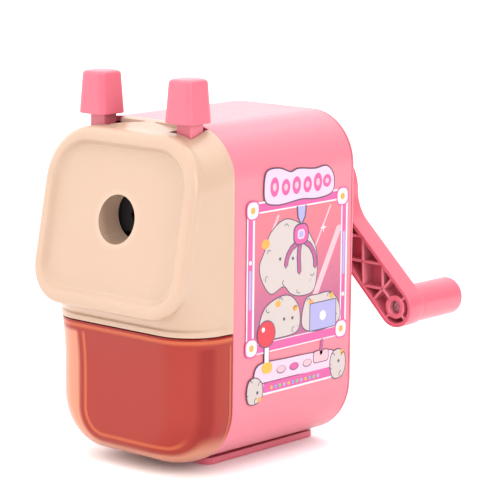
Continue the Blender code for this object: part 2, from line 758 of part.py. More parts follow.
def make_levers(side):
    """One button on its neck, the jaw below it and the pin that both turn on."""
    name = "left" if side < 0 else "right"
    front = LEVER_BACK - LEVER_THICKNESS
    jaw_top = NECK_FOOT_Z - TOUCH_GAP
    outline = [
        (NECK_OUTER_X - 1.2 * MM, jaw_top),
        (NECK_INNER_X - 1.6 * MM, jaw_top),
        (PIVOT_X - JAW_EYE, PIVOT_Z + 3 * MM),
        (PIVOT_X - 4.6 * MM, PIVOT_Z - 4 * MM),
        (8.0 * MM, AXIS_Z + 8.0 * MM),
        (JAW_HALF_GAP, AXIS_Z + 5.0 * MM),
        (JAW_HALF_GAP + 2.2 * MM, AXIS_Z),
        (JAW_HALF_GAP, AXIS_Z - 5.0 * MM),
        (9.0 * MM, AXIS_Z - 6.5 * MM),
        (12.5 * MM, AXIS_Z - 2.0 * MM),
        (PIVOT_X, AXIS_Z + 7.0 * MM),
        (PIVOT_X + 4.4 * MM, PIVOT_Z - 2 * MM),
    ]
    outline = [(side * x, z) for x, z in outline]
    pivot = (side * PIVOT_X, PIVOT_Z)
    hole = circle(pivot, PIVOT_PIN_RADIUS + RUNNING_GAP, FINE_STEPS)
    jaw = flat_piece(f"{name}_jaw", [outline, hole], front, LEVER_BACK, DARK)
    parent_to(jaw, f"{name}_lever_axis", (pivot[0], 0, pivot[1]))

    loops = []
    heights = [
        (CAP_BASE_Z, 0.0, 0.4 * MM),
        (CAP_BASE_Z + 0.4 * MM, 0.03, 0.0),
        (CAP_TOP_Z - CAP_CROWN, 0.93, 0.0),
        (CAP_TOP_Z - 0.35 * CAP_CROWN, 0.98, 0.45 * MM),
        (CAP_TOP_Z, 1.0, 2.0 * MM),
    ]
    for z, share, inset in heights:
        half_x = (CAP_BASE_SIZE[0] + (CAP_TOP_SIZE[0] - CAP_BASE_SIZE[0]) * share) / 2
        half_y = (CAP_BASE_SIZE[1] + (CAP_TOP_SIZE[1] - CAP_BASE_SIZE[1]) * share) / 2
        loops.append(cap_loop(side * CAP_X, CAP_Y, half_x - inset, half_y - inset, z))
    button = loft(f"{name}_button", loops, PINK)
    low = min(side * NECK_INNER_X, side * NECK_OUTER_X)
    high = max(side * NECK_INNER_X, side * NECK_OUTER_X)
    neck_low = (low, front, NECK_FOOT_Z)
    neck_high = (high, LEVER_BACK, CAP_BASE_Z + 2 * MM)
    join(button, box(f"{name}_neck", neck_low, neck_high, PINK))
    parent_to(button, f"{name}_button_axis", (pivot[0], 0, pivot[1]))

    head_seat = front - TOUCH_GAP
    head_front = head_seat - PIN_HEAD
    back = SEAM_Y - 2 * TOUCH_GAP
    profile = [
        (0, back),
        (PIVOT_PIN_RADIUS, back),
        (PIVOT_PIN_RADIUS, head_seat),
        (PIVOT_PIN_RADIUS + PIN_HEAD, head_seat),
        (PIVOT_PIN_RADIUS + PIN_HEAD, head_front),
        (0, head_front),
    ]
    turned_y(f"{name}_lever_pin", profile, STEEL, *pivot, FINE_STEPS)


def cap_loop(x, y, half_x, half_y, z):
    """A level rounded rectangle of a button."""
    radius = min(half_x, half_y) * 0.5
    corners = [
        ((x + half_x - radius, y - half_y + radius), -90),
        ((x + half_x - radius, y + half_y - radius), 0),
        ((x - half_x + radius, y + half_y - radius), 90),
        ((x - half_x + radius, y - half_y + radius), 180),
    ]
    loop = []
    for centre, start in corners:
        for px, py in arc(centre, radius, start, start + 90, 5):
            loop.append((px, py, z))
    return loop


def parent_to(item, name, origin):
    """Hangs an object on an empty that marks the axis it turns on."""
    empty = bpy.data.objects.new(name, None)
    empty.location = origin
    PARTS.objects.link(empty)
    bpy.context.view_layer.update()
    world = item.matrix_world.copy()
    item.parent = empty
    item.matrix_parent_inverse = empty.matrix_world.inverted()
    item.matrix_world = world
    return empty


def make_rods():
    """Two rods with a clip at the back of each, and the springs that pull the head home."""
    for side in (-1, 1):
        name = "left" if side < 0 else "right"
        x = side * ROD_X
        flange_back = SEAM_Y - TOUCH_GAP - CLAMP_THICKNESS - TOUCH_GAP
        flange_front = flange_back - ROD_FLANGE
        profile = [
            (0, ROD_BACK),
            (ROD_RADIUS, ROD_BACK),
            (ROD_RADIUS, flange_back),
            (ROD_RADIUS + 1 * MM, flange_back),
            (ROD_RADIUS + 1 * MM, flange_front),
            (0, flange_front),
        ]
        turned_y(f"{name}_guide_rod", profile, STEEL, x, ROD_Z, FINE_STEPS)
        clip_back = ROD_BACK - ROD_CLIP_INSET
        clip_front = clip_back - ROD_CLIP_THICKNESS
        bore = ROD_RADIUS + TOUCH_GAP
        profile = [
            (ROD_CLIP_RADIUS, clip_back),
            (ROD_CLIP_RADIUS, clip_front),
            (bore, clip_front),
            (bore, clip_back),
        ]
        turned_y(f"{name}_rod_clip", profile, HARD_STEEL, x, ROD_Z, FINE_STEPS)
        start = FRAME_BACK + TOUCH_GAP + SPRING_WIRE
        end = clip_front - TOUCH_GAP - SPRING_WIRE
        wire = (SPRING_WIRE, SPRING_RADIUS, SPRING_TURNS)
        coil(f"{name}_feed_spring", (x, start, ROD_Z), "y", end - start, *wire)


def coil(name, start, axis, length, wire, radius, turns, per_turn=8):
    """A helical spring along x or y, with its last turn at each end nearly flat."""
    curve = bpy.data.curves.new(name, "CURVE")
    curve.dimensions = "3D"
    curve.bevel_depth = wire
    curve.bevel_resolution = 2
    curve.use_fill_caps = True
    count = turns * per_turn + 1
    spline = curve.splines.new("POLY")
    spline.points.add(count - 1)
    flat = 1.0 / turns
    rise = 2.6 * wire / length
    for k in range(count):
        t = k / (count - 1)
        if t < flat:
            along = rise * t / flat
        elif t > 1 - flat:
            along = 1 - rise * (1 - t) / flat
        else:
            along = rise + (1 - 2 * rise) * (t - flat) / (1 - 2 * flat)
        angle = 2 * math.pi * turns * t
        across = (radius * math.cos(angle), radius * math.sin(angle))
        if axis == "y":
            offset = (across[0], along * length, across[1])
        else:
            offset = (along * length, across[0], across[1])
        spline.points[k].co = (*offset, 1)
    item = bpy.data.objects.new(name, curve)
    item.location = start
    return curve_to_mesh(item, name, STEEL)


def make_lever_spring():
    """The short spring that pushes the two levers apart above their pins."""
    reach = PIVOT_X - JAW_EYE - TOUCH_GAP - SPRING_WIRE
    middle = LEVER_BACK - LEVER_THICKNESS / 2
    start = (-reach, middle, PIVOT_Z + 1.5 * MM)
    wire = (LEVER_SPRING_WIRE, LEVER_SPRING_RADIUS, LEVER_SPRING_TURNS)
    coil("lever_spring", start, "x", 2 * reach, *wire)


# ---------------------------------------------------------------- cutter train


TILTED = (CONE_ANGLE - math.pi / 2, 0, 0)


def on_cutter_axis(distance):
    """A point on the cutter's axis, that far in front of the apex."""
    y = APEX_Y - distance * math.cos(CONE_ANGLE)
    z = AXIS_Z - distance * math.sin(CONE_ANGLE)
    return Vector((0, y, z))


def toothed(teeth, root, tip, share, phase=0.0):
    """A toothed outline; share is the tooth's width at the pitch circle in pitches."""
    points = []
    pitch = 2 * math.pi / teeth
    for k in range(teeth):
        middle = phase + k * pitch
        foot = 0.62 * share * pitch
        head = 0.32 * share * pitch
        for radius, angle in ((root, -foot), (tip, -head), (tip, head), (root, foot)):
            turn = middle + angle
            points.append((radius * math.cos(turn), radius * math.sin(turn)))
    return points


def level(outline, z, scale=1.0, turn=0.0):
    """An outline in a plane across local Z, scaled and turned."""
    loop = []
    for x, y in outline:
        px = scale * (x * math.cos(turn) - y * math.sin(turn))
        py = scale * (x * math.sin(turn) + y * math.cos(turn))
        loop.append((px, py, z))
    return loop


def make_cutter():
    """A milled cutter with twisted blades, lying along the pencil's cone."""
    bore = AXLE_RADIUS + RUNNING_GAP
    root = CUTTER_RADIUS - CUTTER_FLUTE_DEPTH
    blade = []
    pitch = 2 * math.pi / CUTTER_FLUTES
    for k in range(CUTTER_FLUTES):
        for radius, part in ((CUTTER_RADIUS, 0.0), (root, 0.18), (root, 0.5)):
            angle = (k + part) * pitch
            blade.append((radius * math.cos(angle), radius * math.sin(angle)))
    inner = circle((0, 0), bore, len(blade))
    sections = 7
    loops = []
    for k in range(sections + 1):
        share = k / sections
        loops.append(level(blade, share * CUTTER_LENGTH, 1.0, share * CUTTER_TWIST))
    loops.append(level(inner, CUTTER_LENGTH, 1.0, CUTTER_TWIST))
    loops.append(level(inner, 0))
    rear = CUTTER_RADIUS / math.tan(CONE_ANGLE) + CUTTER_SETBACK
    place_at = on_cutter_axis(rear + CUTTER_LENGTH)
    loft("helical_cutter", loops, HARD_STEEL, True, place_at, TILTED)


def make_pinion():
    """A bevel pinion that turns with the cutter; its cone points at the apex."""
    far = PINION_FAR
    radius = far * math.tan(PINION_CONE)
    module = 2 * radius / PINION_TEETH
    root = radius - TOOTH_ROOT * module
    tip = radius + TOOTH_TIP * module
    outline = toothed(PINION_TEETH, root, tip, 0.42, math.pi / 2)
    inner = circle((0, 0), AXLE_RADIUS + RUNNING_GAP, len(outline))
    loops = [
        level(outline, 0),
        level(outline, PINION_FACE, 1 - PINION_FACE / far),
        level(inner, PINION_FACE),
        level(inner, 0),
    ]
    loft("cutter_pinion", loops, BRASS, True, on_cutter_axis(far), TILTED)


def make_ring_gear():
    """The fixed ring gear that the pinion rolls in."""
    far = APEX_Y - RING_FRONT
    near = far - RING_THICKNESS
    radius = far * math.tan(RING_CONE)
    module = 2 * radius / RING_TEETH
    tooth_root = radius + TOOTH_ROOT * module
    tooth_tip = radius - TOOTH_TIP * module
    share = RING_TOOTH_SHARE
    outline = toothed(RING_TEETH, tooth_tip, tooth_root, share, math.pi / 2)
    outer = circle((0, 0), RING_OUTER_RADIUS, len(outline))
    turn = math.pi / 2 - 0.62 * share * 2 * math.pi / RING_TEETH
    loops = [
        level(outline, 0),
        level(outline, RING_THICKNESS, near / far),
        level(outer, RING_THICKNESS, 1.0, turn),
        level(outer, 0, 1.0, turn),
    ]
    loft("ring_gear", loops, DARK, True, (0, RING_FRONT, AXIS_Z), ALONG_Y)


def make_axle():
    """The cutter's axle; returns the cutter for its bore in the carrier."""
    front = (APEX_Y - AXLE_FRONT_Y) / math.cos(CONE_ANGLE)
    back = (APEX_Y - AXLE_BACK_Y) / math.cos(CONE_ANGLE)
    length = front - back
    profile = [(0, length), (AXLE_RADIUS, length), (AXLE_RADIUS, 0), (0, 0)]
    place_at = on_cutter_axis(front)
    turned("cutter_axle", profile, STEEL, place_at, TILTED, FINE_STEPS)
    bore = AXLE_RADIUS + TOUCH_GAP
    gap = TOUCH_GAP
    profile = [(0, length + gap), (bore, length + gap), (bore, -gap), (0, -gap)]
    return turned("axle_bore", profile, STEEL, place_at, TILTED, FINE_STEPS)


def make_carrier(axle_bore):
    """The cast yoke: front ring, two rails, two discs round the pinion, and the shaft."""
    plate_front = FRAME_BACK + TOUCH_GAP
    profile = [
        (CARRIER_RING_RADIUS, CARRIER_PLATE_BACK),
        (CARRIER_RING_RADIUS, CARRIER_FRONT),
        (PENCIL_BORE_RADIUS, CARRIER_FRONT),
        (PENCIL_BORE_RADIUS, CARRIER_PLATE_BACK),
    ]
    carrier = turned_y("cutter_carrier", profile, CASTING)

    axle_z = AXIS_Z - (APEX_Y - plate_front) * math.tan(CONE_ANGLE)
    lug_z = axle_z - AXLE_RADIUS - LUG_WALL
    lug_low = (-LUG_HALF_WIDTH, plate_front, lug_z)
    lug_high = (LUG_HALF_WIDTH, CARRIER_PLATE_BACK, AXIS_Z - PENCIL_BORE_RADIUS - 1.5 * MM)
    join(carrier, box("lug", lug_low, lug_high, CASTING))
    for side in (-1, 1):
        low_x = min(side * RAIL_INNER_X, side * RAIL_OUTER_X)
        high_x = max(side * RAIL_INNER_X, side * RAIL_OUTER_X)
        low = (low_x, CARRIER_PLATE_BACK - 2 * MM, AXIS_Z + RAIL_HEIGHTS[0])
        high = (high_x, CARRIER_DISC_FRONT + 2 * MM, AXIS_Z + RAIL_HEIGHTS[1])
        join(carrier, box(f"rail_{side + 1}", low, high, CASTING))

    def round_bar(name, radius, front, back, steps=ROUND_STEPS):
        return rod_y(name, radius, front, back, CASTING, steps=steps)

    disc = (CARRIER_DISC_FRONT, CARRIER_DISC_BACK)
    join(carrier, round_bar("disc", CARRIER_DISC_RADIUS, *disc))
    low = (-PILLAR_HALF_WIDTH, CARRIER_DISC_BACK - 1 * MM, AXIS_Z + PILLAR_HEIGHTS[0])
    high = (PILLAR_HALF_WIDTH, CARRIER_REAR_FRONT + 1 * MM, AXIS_Z + PILLAR_HEIGHTS[1])
    join(carrier, box("pillar", low, high, CASTING))
    disc = (CARRIER_REAR_FRONT, CARRIER_REAR_BACK)
    join(carrier, round_bar("rear_disc", CARRIER_REAR_RADIUS, *disc))
    shaft_end = ARM_FRONT - 0.7 * MM
    join(carrier, round_bar("shaft", SHAFT_RADIUS, CARRIER_REAR_BACK - 1 * MM, shaft_end))
    hex_back = HEX_FLOOR - TOUCH_GAP
    join(carrier, round_bar("hex", HEX_RADIUS, shaft_end - 1 * MM, hex_back, 6))
    cut(carrier, axle_bore)
    thread = SCREW_SHANK_RADIUS + TOUCH_GAP
    cut(carrier, round_bar("thread", thread, hex_back - 8 * MM, hex_back + 1 * MM, FINE_STEPS))


def make_bearing_cup():
    """Holds the ring gear inside the housing and the shaft in the nose behind it."""
    shoulder = RING_FRONT + RING_THICKNESS + TOUCH_GAP
    ring_bore = RING_OUTER_RADIUS + TOUCH_GAP
    bore = SHAFT_RADIUS + RUNNING_GAP
    flange_front = HOUSING_BACK + TOUCH_GAP
    flange_back = flange_front + CUP_FLANGE_THICKNESS
    profile = [
        (CUP_NOSE_RADIUS - 1 * MM, CUP_BACK),
        (CUP_NOSE_RADIUS, CUP_BACK - 1 * MM),
        (CUP_NOSE_RADIUS + 2.5 * MM, flange_back + 1 * MM),
        (CUP_FLANGE_RADIUS - 2 * MM, flange_back),
        (CUP_FLANGE_RADIUS, flange_back),
        (CUP_FLANGE_RADIUS, flange_front),
        (CUP_RADIUS, flange_front),
        (CUP_RADIUS, RING_FRONT),
        (ring_bore, RING_FRONT),
        (ring_bore, shoulder),
        (CUP_CAVITY_RADIUS, shoulder),
        (CUP_CAVITY_RADIUS, CUP_CAVITY_BACK),
        (bore, CUP_CAVITY_BACK),
        (bore, CUP_BACK),
    ]
    turned_y("bearing_cup", profile, PINK)


# ---------------------------------------------------------------- crank


def crank_point(u, v):
    """From along and across the arm to (x, z)."""
    x = u * math.cos(CRANK_ANGLE) - v * math.sin(CRANK_ANGLE)
    z = u * math.sin(CRANK_ANGLE) + v * math.cos(CRANK_ANGLE)
    return x, AXIS_Z + z


def arm_outline(inset=0.0):
    """Hub disc, hollow-cornered neck, straight arm and round end."""
    hub = HUB_RADIUS - inset
    half = ARM_HALF_WIDTH - inset
    fillet = HUB_FILLET + inset
    reach = math.sqrt((hub + fillet) ** 2 - (half + fillet) ** 2)
    opening = math.degrees(math.atan2(half + fillet, reach))
    end = ARM_END_RADIUS - inset
    bend = math.degrees(math.asin(half / end))
    points = arc((0, 0), hub, opening, 360 - opening, 22)
    points += arc((reach, -half - fillet), fillet, 180 - opening, 90, 5)[1:]
    points += arc((CRANK_RADIUS, 0), end, -bend - 20, bend + 20, 10)
    points += arc((reach, half + fillet), fillet, 270, 180 + opening, 5)[:-1]
    return [crank_point(u, v) for u, v in points]


def make_crank():
    """A ribbed arm, open towards the housing, with bosses for the shaft and the grip."""
    arm = flat_piece("crank_arm", [arm_outline()], ARM_FRONT, ARM_BACK, PINK)
    floor = ARM_BACK - ARM_FLOOR
    pocket = [arm_outline(ARM_WALL)]
    cut(arm, flat_piece("pocket", pocket, ARM_FRONT - 1 * MM, floor, PINK))
    deep = ARM_BACK - ARM_FLOOR / 2
    join(arm, rod_y("hub_boss", HUB_BOSS_RADIUS, ARM_FRONT, deep, PINK, steps=24))
    place_at = (GRIP_X, GRIP_Z)
    join(arm, rod_y("grip_boss", GRIP_BOSS_RADIUS, ARM_FRONT, deep, PINK, *place_at, 24))

    edge = ARM_HALF_WIDTH - ARM_WALL / 2
    for k in range(RIB_CROSSES):
        middle = LAST_CROSS - k * RIB_PITCH
        back_end = middle - RIB_PITCH / 2
        front_end = middle + RIB_PITCH / 2
        for side in (-1, 1):
            far = (middle, 0) if k == 0 else (front_end, side * edge)
            join(arm, rib(f"rib_{k}_{side + 1}", (back_end, -side * edge), far))
    join(arm, rib("cross_rib", (LAST_CROSS, -edge), (LAST_CROSS, edge)))
    for k in range(4):
        start = GRIP_BOSS_RADIUS - RIB_DROP
        end = CRANK_RADIUS - LAST_CROSS if k == 2 else ARM_END_RADIUS - ARM_WALL / 2
        join(arm, spoke(f"grip_spoke_{k}", CRANK_RADIUS, 90 * k, start, end))
    for k in range(HUB_SPOKES):
        start = HUB_BOSS_RADIUS - RIB_DROP
        end = HUB_RADIUS - ARM_WALL / 2
        join(arm, spoke(f"hub_spoke_{k}", 0, 360 * (k + 0.5) / HUB_SPOKES, start, end))

    front = ARM_FRONT - 1 * MM
    cut(arm, rod_y("hex_bore", HEX_RADIUS + TOUCH_GAP, front, HEX_FLOOR, PINK, steps=6))
    shank = SCREW_SHANK_RADIUS + TOUCH_GAP
    recess = SCREW_HEAD_RADIUS + 3 * TOUCH_GAP
    profile = [
        (0, ARM_BACK + 1 * MM),
        (recess, ARM_BACK + 1 * MM),
        (recess, SCREW_SEAT),
        (shank, SCREW_SEAT),
        (shank, HEX_FLOOR - 1 * MM),
        (0, HEX_FLOOR - 1 * MM),
    ]
    cut(arm, turned_y("screw_bore", profile, PINK))
    stem = STEM_RADIUS + RUNNING_GAP
    profile = [
        (0, ARM_BACK + 1 * MM),
        (stem, ARM_BACK + 1 * MM),
        (stem, ARM_FRONT + GRIP_BOSS_DEPTH),
        (GRIP_BOSS_BORE, ARM_FRONT + GRIP_BOSS_DEPTH),
        (GRIP_BOSS_BORE, front),
        (0, front),
    ]
    cut(arm, turned_y("stem_bore", profile, PINK, *place_at))
    parent_to(arm, "crank_axis", (0, 0, AXIS_Z))

    seat = SCREW_SEAT + TOUCH_GAP
    tip = ARM_BACK - CRANK_SCREW_LENGTH
    profile = [
        (0, seat + SCREW_HEAD_HEIGHT),
        (SCREW_HEAD_RADIUS * 0.8, seat + SCREW_HEAD_HEIGHT),
        (SCREW_HEAD_RADIUS, seat + SCREW_HEAD_HEIGHT * 0.6),
        (SCREW_HEAD_RADIUS, seat),
        (SCREW_SHANK_RADIUS, seat),
        (SCREW_SHANK_RADIUS, tip),
        (0, tip),
    ]
    turned_y("crank_screw", profile, STEEL, steps=FINE_STEPS)


def rib(name, start, end):
    """A thin wall in the arm's pocket, between two points along and across the arm."""
    length = math.hypot(end[0] - start[0], end[1] - start[1])
    low = (-length / 2, ARM_FRONT + RIB_DROP, -RIB_THICKNESS / 2)
    high = (length / 2, ARM_BACK - ARM_FLOOR / 2, RIB_THICKNESS / 2)
    wall = box(name, low, high, PINK)
    x, z = crank_point((start[0] + end[0]) / 2, (start[1] + end[1]) / 2)
    wall.location.x = x
    wall.location.z = z
    lean = math.atan2(end[1] - start[1], end[0] - start[0])
    wall.rotation_euler = (0, -(CRANK_ANGLE + lean), 0)
    return wall


def spoke(name, along, degrees, inner, outer):
    """A rib that runs out from a boss standing that far along the arm."""
    u = math.cos(math.radians(degrees))
    v = math.sin(math.radians(degrees))
    return rib(name, (along + inner * u, inner * v), (along + outer * u, outer * v))


def make_grip():
    """A handle that turns on its own stem, kept in the arm by a cap pushed on the stem."""
    front = ARM_BACK + TOUCH_GAP
    back = front + GRIP_LENGTH
    r = GRIP_ROUNDING
    cap_back = ARM_FRONT + GRIP_BOSS_DEPTH - TOUCH_GAP
    cap_front = cap_back - STEM_CAP_LENGTH
    bore = STEM_RADIUS + TOUCH_GAP
    tip = cap_front + 2 * TOUCH_GAP + 0.2 * MM
    profile = [(0, back)]
    profile += arc((GRIP_RADIUS - r, back - r), r, 90, 0, 4)
    profile += [
        (GRIP_RADIUS, front + 0.4 * MM),
        (GRIP_RADIUS - 0.4 * MM, front),
        (STEM_RADIUS, front),
        (STEM_RADIUS, tip),
        (0, tip),
    ]
    turned_y("grip", profile, PINK, GRIP_X, GRIP_Z)
    profile = [
        (0, tip - TOUCH_GAP),
        (bore, tip - TOUCH_GAP),
        (bore, cap_back),
        (STEM_CAP_RADIUS, cap_back),
        (STEM_CAP_RADIUS, cap_front),
        (0, cap_front),
    ]
    turned_y("grip_retainer", profile, STEEL, GRIP_X, GRIP_Z, 20)


# ---------------------------------------------------------------- drawer


def drawer_outline(inset=0.0, top=DRAWER_TOP):
    """The housing's outline below the split."""
    return rounded(
        HALF_WIDTH - inset,
        top,
        HOUSING_BOTTOM + inset,
        0.6 * MM,
        HOUSING_BOTTOM_RADIUS - inset,
        EDGE_STEPS,
    )


def drawer_face(z):
    """The front's y at a height: upright, then flaring out to meet the head's lip."""
    rise = max(z - DRAWER_FLARE_Z, 0) / (DRAWER_TOP - DRAWER_FLARE_Z)
    return DRAWER_FRONT - DRAWER_FLARE * rise**2


def front_outline(shrink=0.0):
    half = HALF_WIDTH - LIP_RADIUS - shrink
    low = HOUSING_BOTTOM + DRAWER_BOTTOM_ROUNDING + shrink
    top = DRAWER_TOP - shrink
    corner = DRAWER_FACE_CORNER - shrink
    return rounded(half, top, low, 0.6 * MM, corner, EDGE_STEPS)


def drawer_front_loop(sweep):
    """Rounds the side into the front, as a quarter turn in plan."""
    loop = []
    for (x0, z0), (x1, z1) in zip(drawer_outline(), front_outline()):
        share = 1 - math.cos(sweep)
        x = x0 + (x1 - x0) * share
        z = z0 + (z1 - z0) * share
        side_y = DRAWER_FRONT + LIP_RADIUS
        y = side_y + (drawer_face(z) - side_y) * math.sin(sweep)
        loop.append((x, y, z))
    return loop


def on_drawer_face(outline, sunk):
    return [(x, drawer_face(z) + sunk, z) for x, z in outline]


def make_drawer():
    """A clear tray that fills the housing's lower half, with a rounded front."""
    tray = drawer_outline(WALL + RUNNING_GAP, DRAWER_TOP - TRAY_STEP)
    seam = SEAM_Y - TOUCH_GAP
    loops = [
        at_depth(tray, DRAWER_BACK),
        at_depth(tray, seam),
        at_depth(drawer_outline(), seam),
    ]
    for degrees in (0, 15, 30, 45, 60, 75, 90):
        loops.append(drawer_front_loop(math.radians(degrees)))
    loops.append(on_drawer_face(front_outline(5.4 * MM), 0))
    drawer = loft("shavings_drawer", loops, AMBER)

    wall = DRAWER_WALL
    inner = drawer_outline(WALL + RUNNING_GAP + wall)
    narrow = front_outline(1.0 * MM)
    lift = 10 * MM

    def open_top(outline):
        top = DRAWER_TOP - 2.5 * MM
        return [(x, z + lift if z > top else z) for x, z in outline]

    hollow = loft(
        "hollow",
        [
            at_depth(open_top(inner), DRAWER_BACK - wall),
            at_depth(open_top(inner), seam - wall),
            at_depth(open_top(narrow), DRAWER_FRONT + wall),
        ],
        AMBER,
    )
    cut(drawer, hollow)


make_housing()
make_rear_cover()
make_foot()
make_inner_frame()
make_head_cover()
make_clamp_plate()
make_levers(-1)
make_levers(1)
make_rods()
make_lever_spring()
make_cutter()
make_pinion()
make_ring_gear()
make_carrier(make_axle())
make_bearing_cup()
make_crank()
make_grip()
make_drawer()
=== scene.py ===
# %% [markdown]
# # A hand-crank pencil sharpener
# The real object is a moulded box on a foot plate, with a cream front that grips the pencil,
# a clear orange drawer for the shavings and a ribbed crank at the back.
# The frame holds the sizes, the joints and the working parts. This lesson puts the finished
# surfaces around it: finer shells, rounded edges, plastics, metals and the printed side.

# %% Load the frame
import json
import math

import bmesh
import bpy
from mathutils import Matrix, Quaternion, Vector


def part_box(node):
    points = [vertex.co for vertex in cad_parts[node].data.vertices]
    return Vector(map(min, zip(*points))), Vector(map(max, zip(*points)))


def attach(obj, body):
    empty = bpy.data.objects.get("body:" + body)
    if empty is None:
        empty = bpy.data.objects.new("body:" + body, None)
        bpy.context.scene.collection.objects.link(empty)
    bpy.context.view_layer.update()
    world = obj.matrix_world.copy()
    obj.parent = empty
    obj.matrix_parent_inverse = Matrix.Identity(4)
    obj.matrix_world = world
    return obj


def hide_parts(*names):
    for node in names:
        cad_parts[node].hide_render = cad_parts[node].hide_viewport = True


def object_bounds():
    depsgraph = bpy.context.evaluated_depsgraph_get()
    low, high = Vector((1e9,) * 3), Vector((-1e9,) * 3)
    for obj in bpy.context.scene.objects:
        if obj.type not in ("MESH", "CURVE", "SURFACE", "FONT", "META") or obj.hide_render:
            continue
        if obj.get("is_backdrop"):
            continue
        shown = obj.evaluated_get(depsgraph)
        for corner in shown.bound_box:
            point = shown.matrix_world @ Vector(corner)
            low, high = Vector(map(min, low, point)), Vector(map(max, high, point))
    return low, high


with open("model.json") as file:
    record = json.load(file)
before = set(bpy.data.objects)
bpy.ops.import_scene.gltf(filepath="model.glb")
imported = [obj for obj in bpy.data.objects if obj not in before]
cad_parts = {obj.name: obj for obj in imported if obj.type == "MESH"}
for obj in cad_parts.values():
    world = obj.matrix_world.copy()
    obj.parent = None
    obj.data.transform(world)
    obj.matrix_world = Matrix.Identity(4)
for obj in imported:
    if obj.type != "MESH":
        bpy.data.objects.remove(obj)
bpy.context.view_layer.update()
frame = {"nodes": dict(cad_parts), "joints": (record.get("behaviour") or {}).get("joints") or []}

MM = 0.001


# %% [markdown]
# The shells of the frame give the driving sizes. Reading them from the frame keeps every
# surface in step with the working parts when a size changes.

# %% Driving sizes
shell_low, shell_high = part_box("housing_shell")
cover_low, cover_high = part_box("rear_cover")
plate_low, plate_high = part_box("foot_plate")
arm_low, arm_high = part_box("crank_arm")
grip_low, grip_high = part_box("grip")
drawer_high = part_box("shavings_drawer")[1]

joint_named = {joint["name"]: joint for joint in frame["joints"]}
HALF_WIDTH = shell_high.x
TOP = shell_high.z
BOTTOM = shell_low.z
SEAM = shell_low.y
BACK = cover_high.y
AXIS_Z = joint_named["crank_spin"]["pos_m"][2]
DRAWER_TOP = drawer_high.z
WALL = 2.0 * MM
TOP_RADIUS = 17.3 * MM
BOTTOM_RADIUS = 19.6 * MM
print("sharpening axis height:", round(AXIS_Z / MM, 1), "mm")


# %% [markdown]
# Most of the shells are skins over a row of closed outlines, as a boat is planked over its
# frames. A few helpers draw the outlines: an arc, a rounded rectangle, and a circle whose
# points stand in the same directions as another outline's, so that the two can be skinned.

# %% Outlines
def arc(centre, radius, start, end, steps):
    """Points on an arc, both ends included; angles in degrees."""
    points = []
    for k in range(steps + 1):
        angle = math.radians(start + (end - start) * k / steps)
        points.append((centre[0] + radius * math.cos(angle), centre[1] + radius * math.sin(angle)))
    return points


def divide(start, end, steps):
    """The points between two corners of an outline."""
    return [
        (start[0] + (end[0] - start[0]) * k / steps, start[1] + (end[1] - start[1]) * k / steps)
        for k in range(1, steps)
    ]


def rounded(half, top, bottom, top_radius, bottom_radius, corner=16, edge=8):
    """A rounded rectangle, anticlockwise from its lower right corner."""
    low, high = bottom + bottom_radius, top - top_radius
    corners = [
        arc((half - bottom_radius, low), bottom_radius, -90, 0, corner),
        arc((half - top_radius, high), top_radius, 0, 90, corner),
        arc((top_radius - half, high), top_radius, 90, 180, corner),
        arc((bottom_radius - half, low), bottom_radius, 180, 270, corner),
    ]
    points = []
    for k, one in enumerate(corners):
        points += one + divide(one[-1], corners[(k + 1) % 4][0], edge)
    return points


def circle_like(outline, radius):
    """A circle on the sharpening axis, with a point in the direction of each outline point."""
    points = []
    for x, z in outline:
        angle = math.atan2(z - AXIS_Z, x)
        points.append((radius * math.cos(angle), AXIS_Z + radius * math.sin(angle)))
    return points


def ring_of(radius, centre=(0.0, 0.0), steps=64):
    return arc(centre, radius, 0, 360, steps)[:-1]


def upright(outline, y):
    return [(x, y, z) for x, z in outline]


def quarter(radius, steps=4):
    """Insets and depths of a rounded edge: from the side round to the face."""
    for k in range(steps + 1):
        turn = math.pi / 2 * k / steps
        yield radius * (1 - math.cos(turn)), radius * (1 - math.sin(turn))


print("housing outline points:", len(rounded(HALF_WIDTH, TOP, BOTTOM, TOP_RADIUS, BOTTOM_RADIUS)))


# %% [markdown]
# A skinned mesh can close in two ways: with a cap at each end, or by joining its last outline
# to its first, which makes a hollow shell with a real wall. A turned piece is the same skin
# with circles for outlines.

# %% Skins and pieces
def skin(builder, loops, ring=False):
    rows = [[builder.verts.new(point) for point in loop] for loop in loops]
    pairs = list(zip(rows, rows[1:]))
    if ring:
        pairs.append((rows[-1], rows[0]))
    else:
        builder.faces.new(rows[0])
        builder.faces.new(rows[-1])
    count = len(rows[0])
    for one, two in pairs:
        for i in range(count):
            j = (i + 1) % count
            builder.faces.new((one[i], one[j], two[j], two[i]))


SHARP = 32


def new_piece(name, builder, material):
    """Closes a mesh builder into a smooth object that keeps its sharp edges."""
    bmesh.ops.recalc_face_normals(builder, faces=builder.faces)
    mesh = bpy.data.meshes.new(name)
    builder.to_mesh(mesh)
    builder.free()
    mesh.materials.append(material)
    mesh.shade_smooth()
    mesh.set_sharp_from_angle(angle=math.radians(SHARP))
    piece = bpy.data.objects.new(name, mesh)
    bpy.context.scene.collection.objects.link(piece)
    return piece


def block_from(name, loops, material):
    """A closed skin over its outlines, with plain shading."""
    builder = bmesh.new()
    skin(builder, loops)
    return new_piece(name, builder, material)


def even_shading(piece):
    """Lets the large flat faces lead the shading at rounded edges."""
    weighted = piece.modifiers.new("even_shading", "WEIGHTED_NORMAL")
    weighted.keep_sharp = True
    return piece


def mount(piece, body, stands_for=()):
    """Puts a finished piece on its body, in place of the plain solids it stands for."""
    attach(piece, body)
    if stands_for:
        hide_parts(*stands_for)
    return piece


def skinned(name, loops, material, ring=False):
    builder = bmesh.new()
    skin(builder, loops, ring)
    return even_shading(new_piece(name, builder, material))


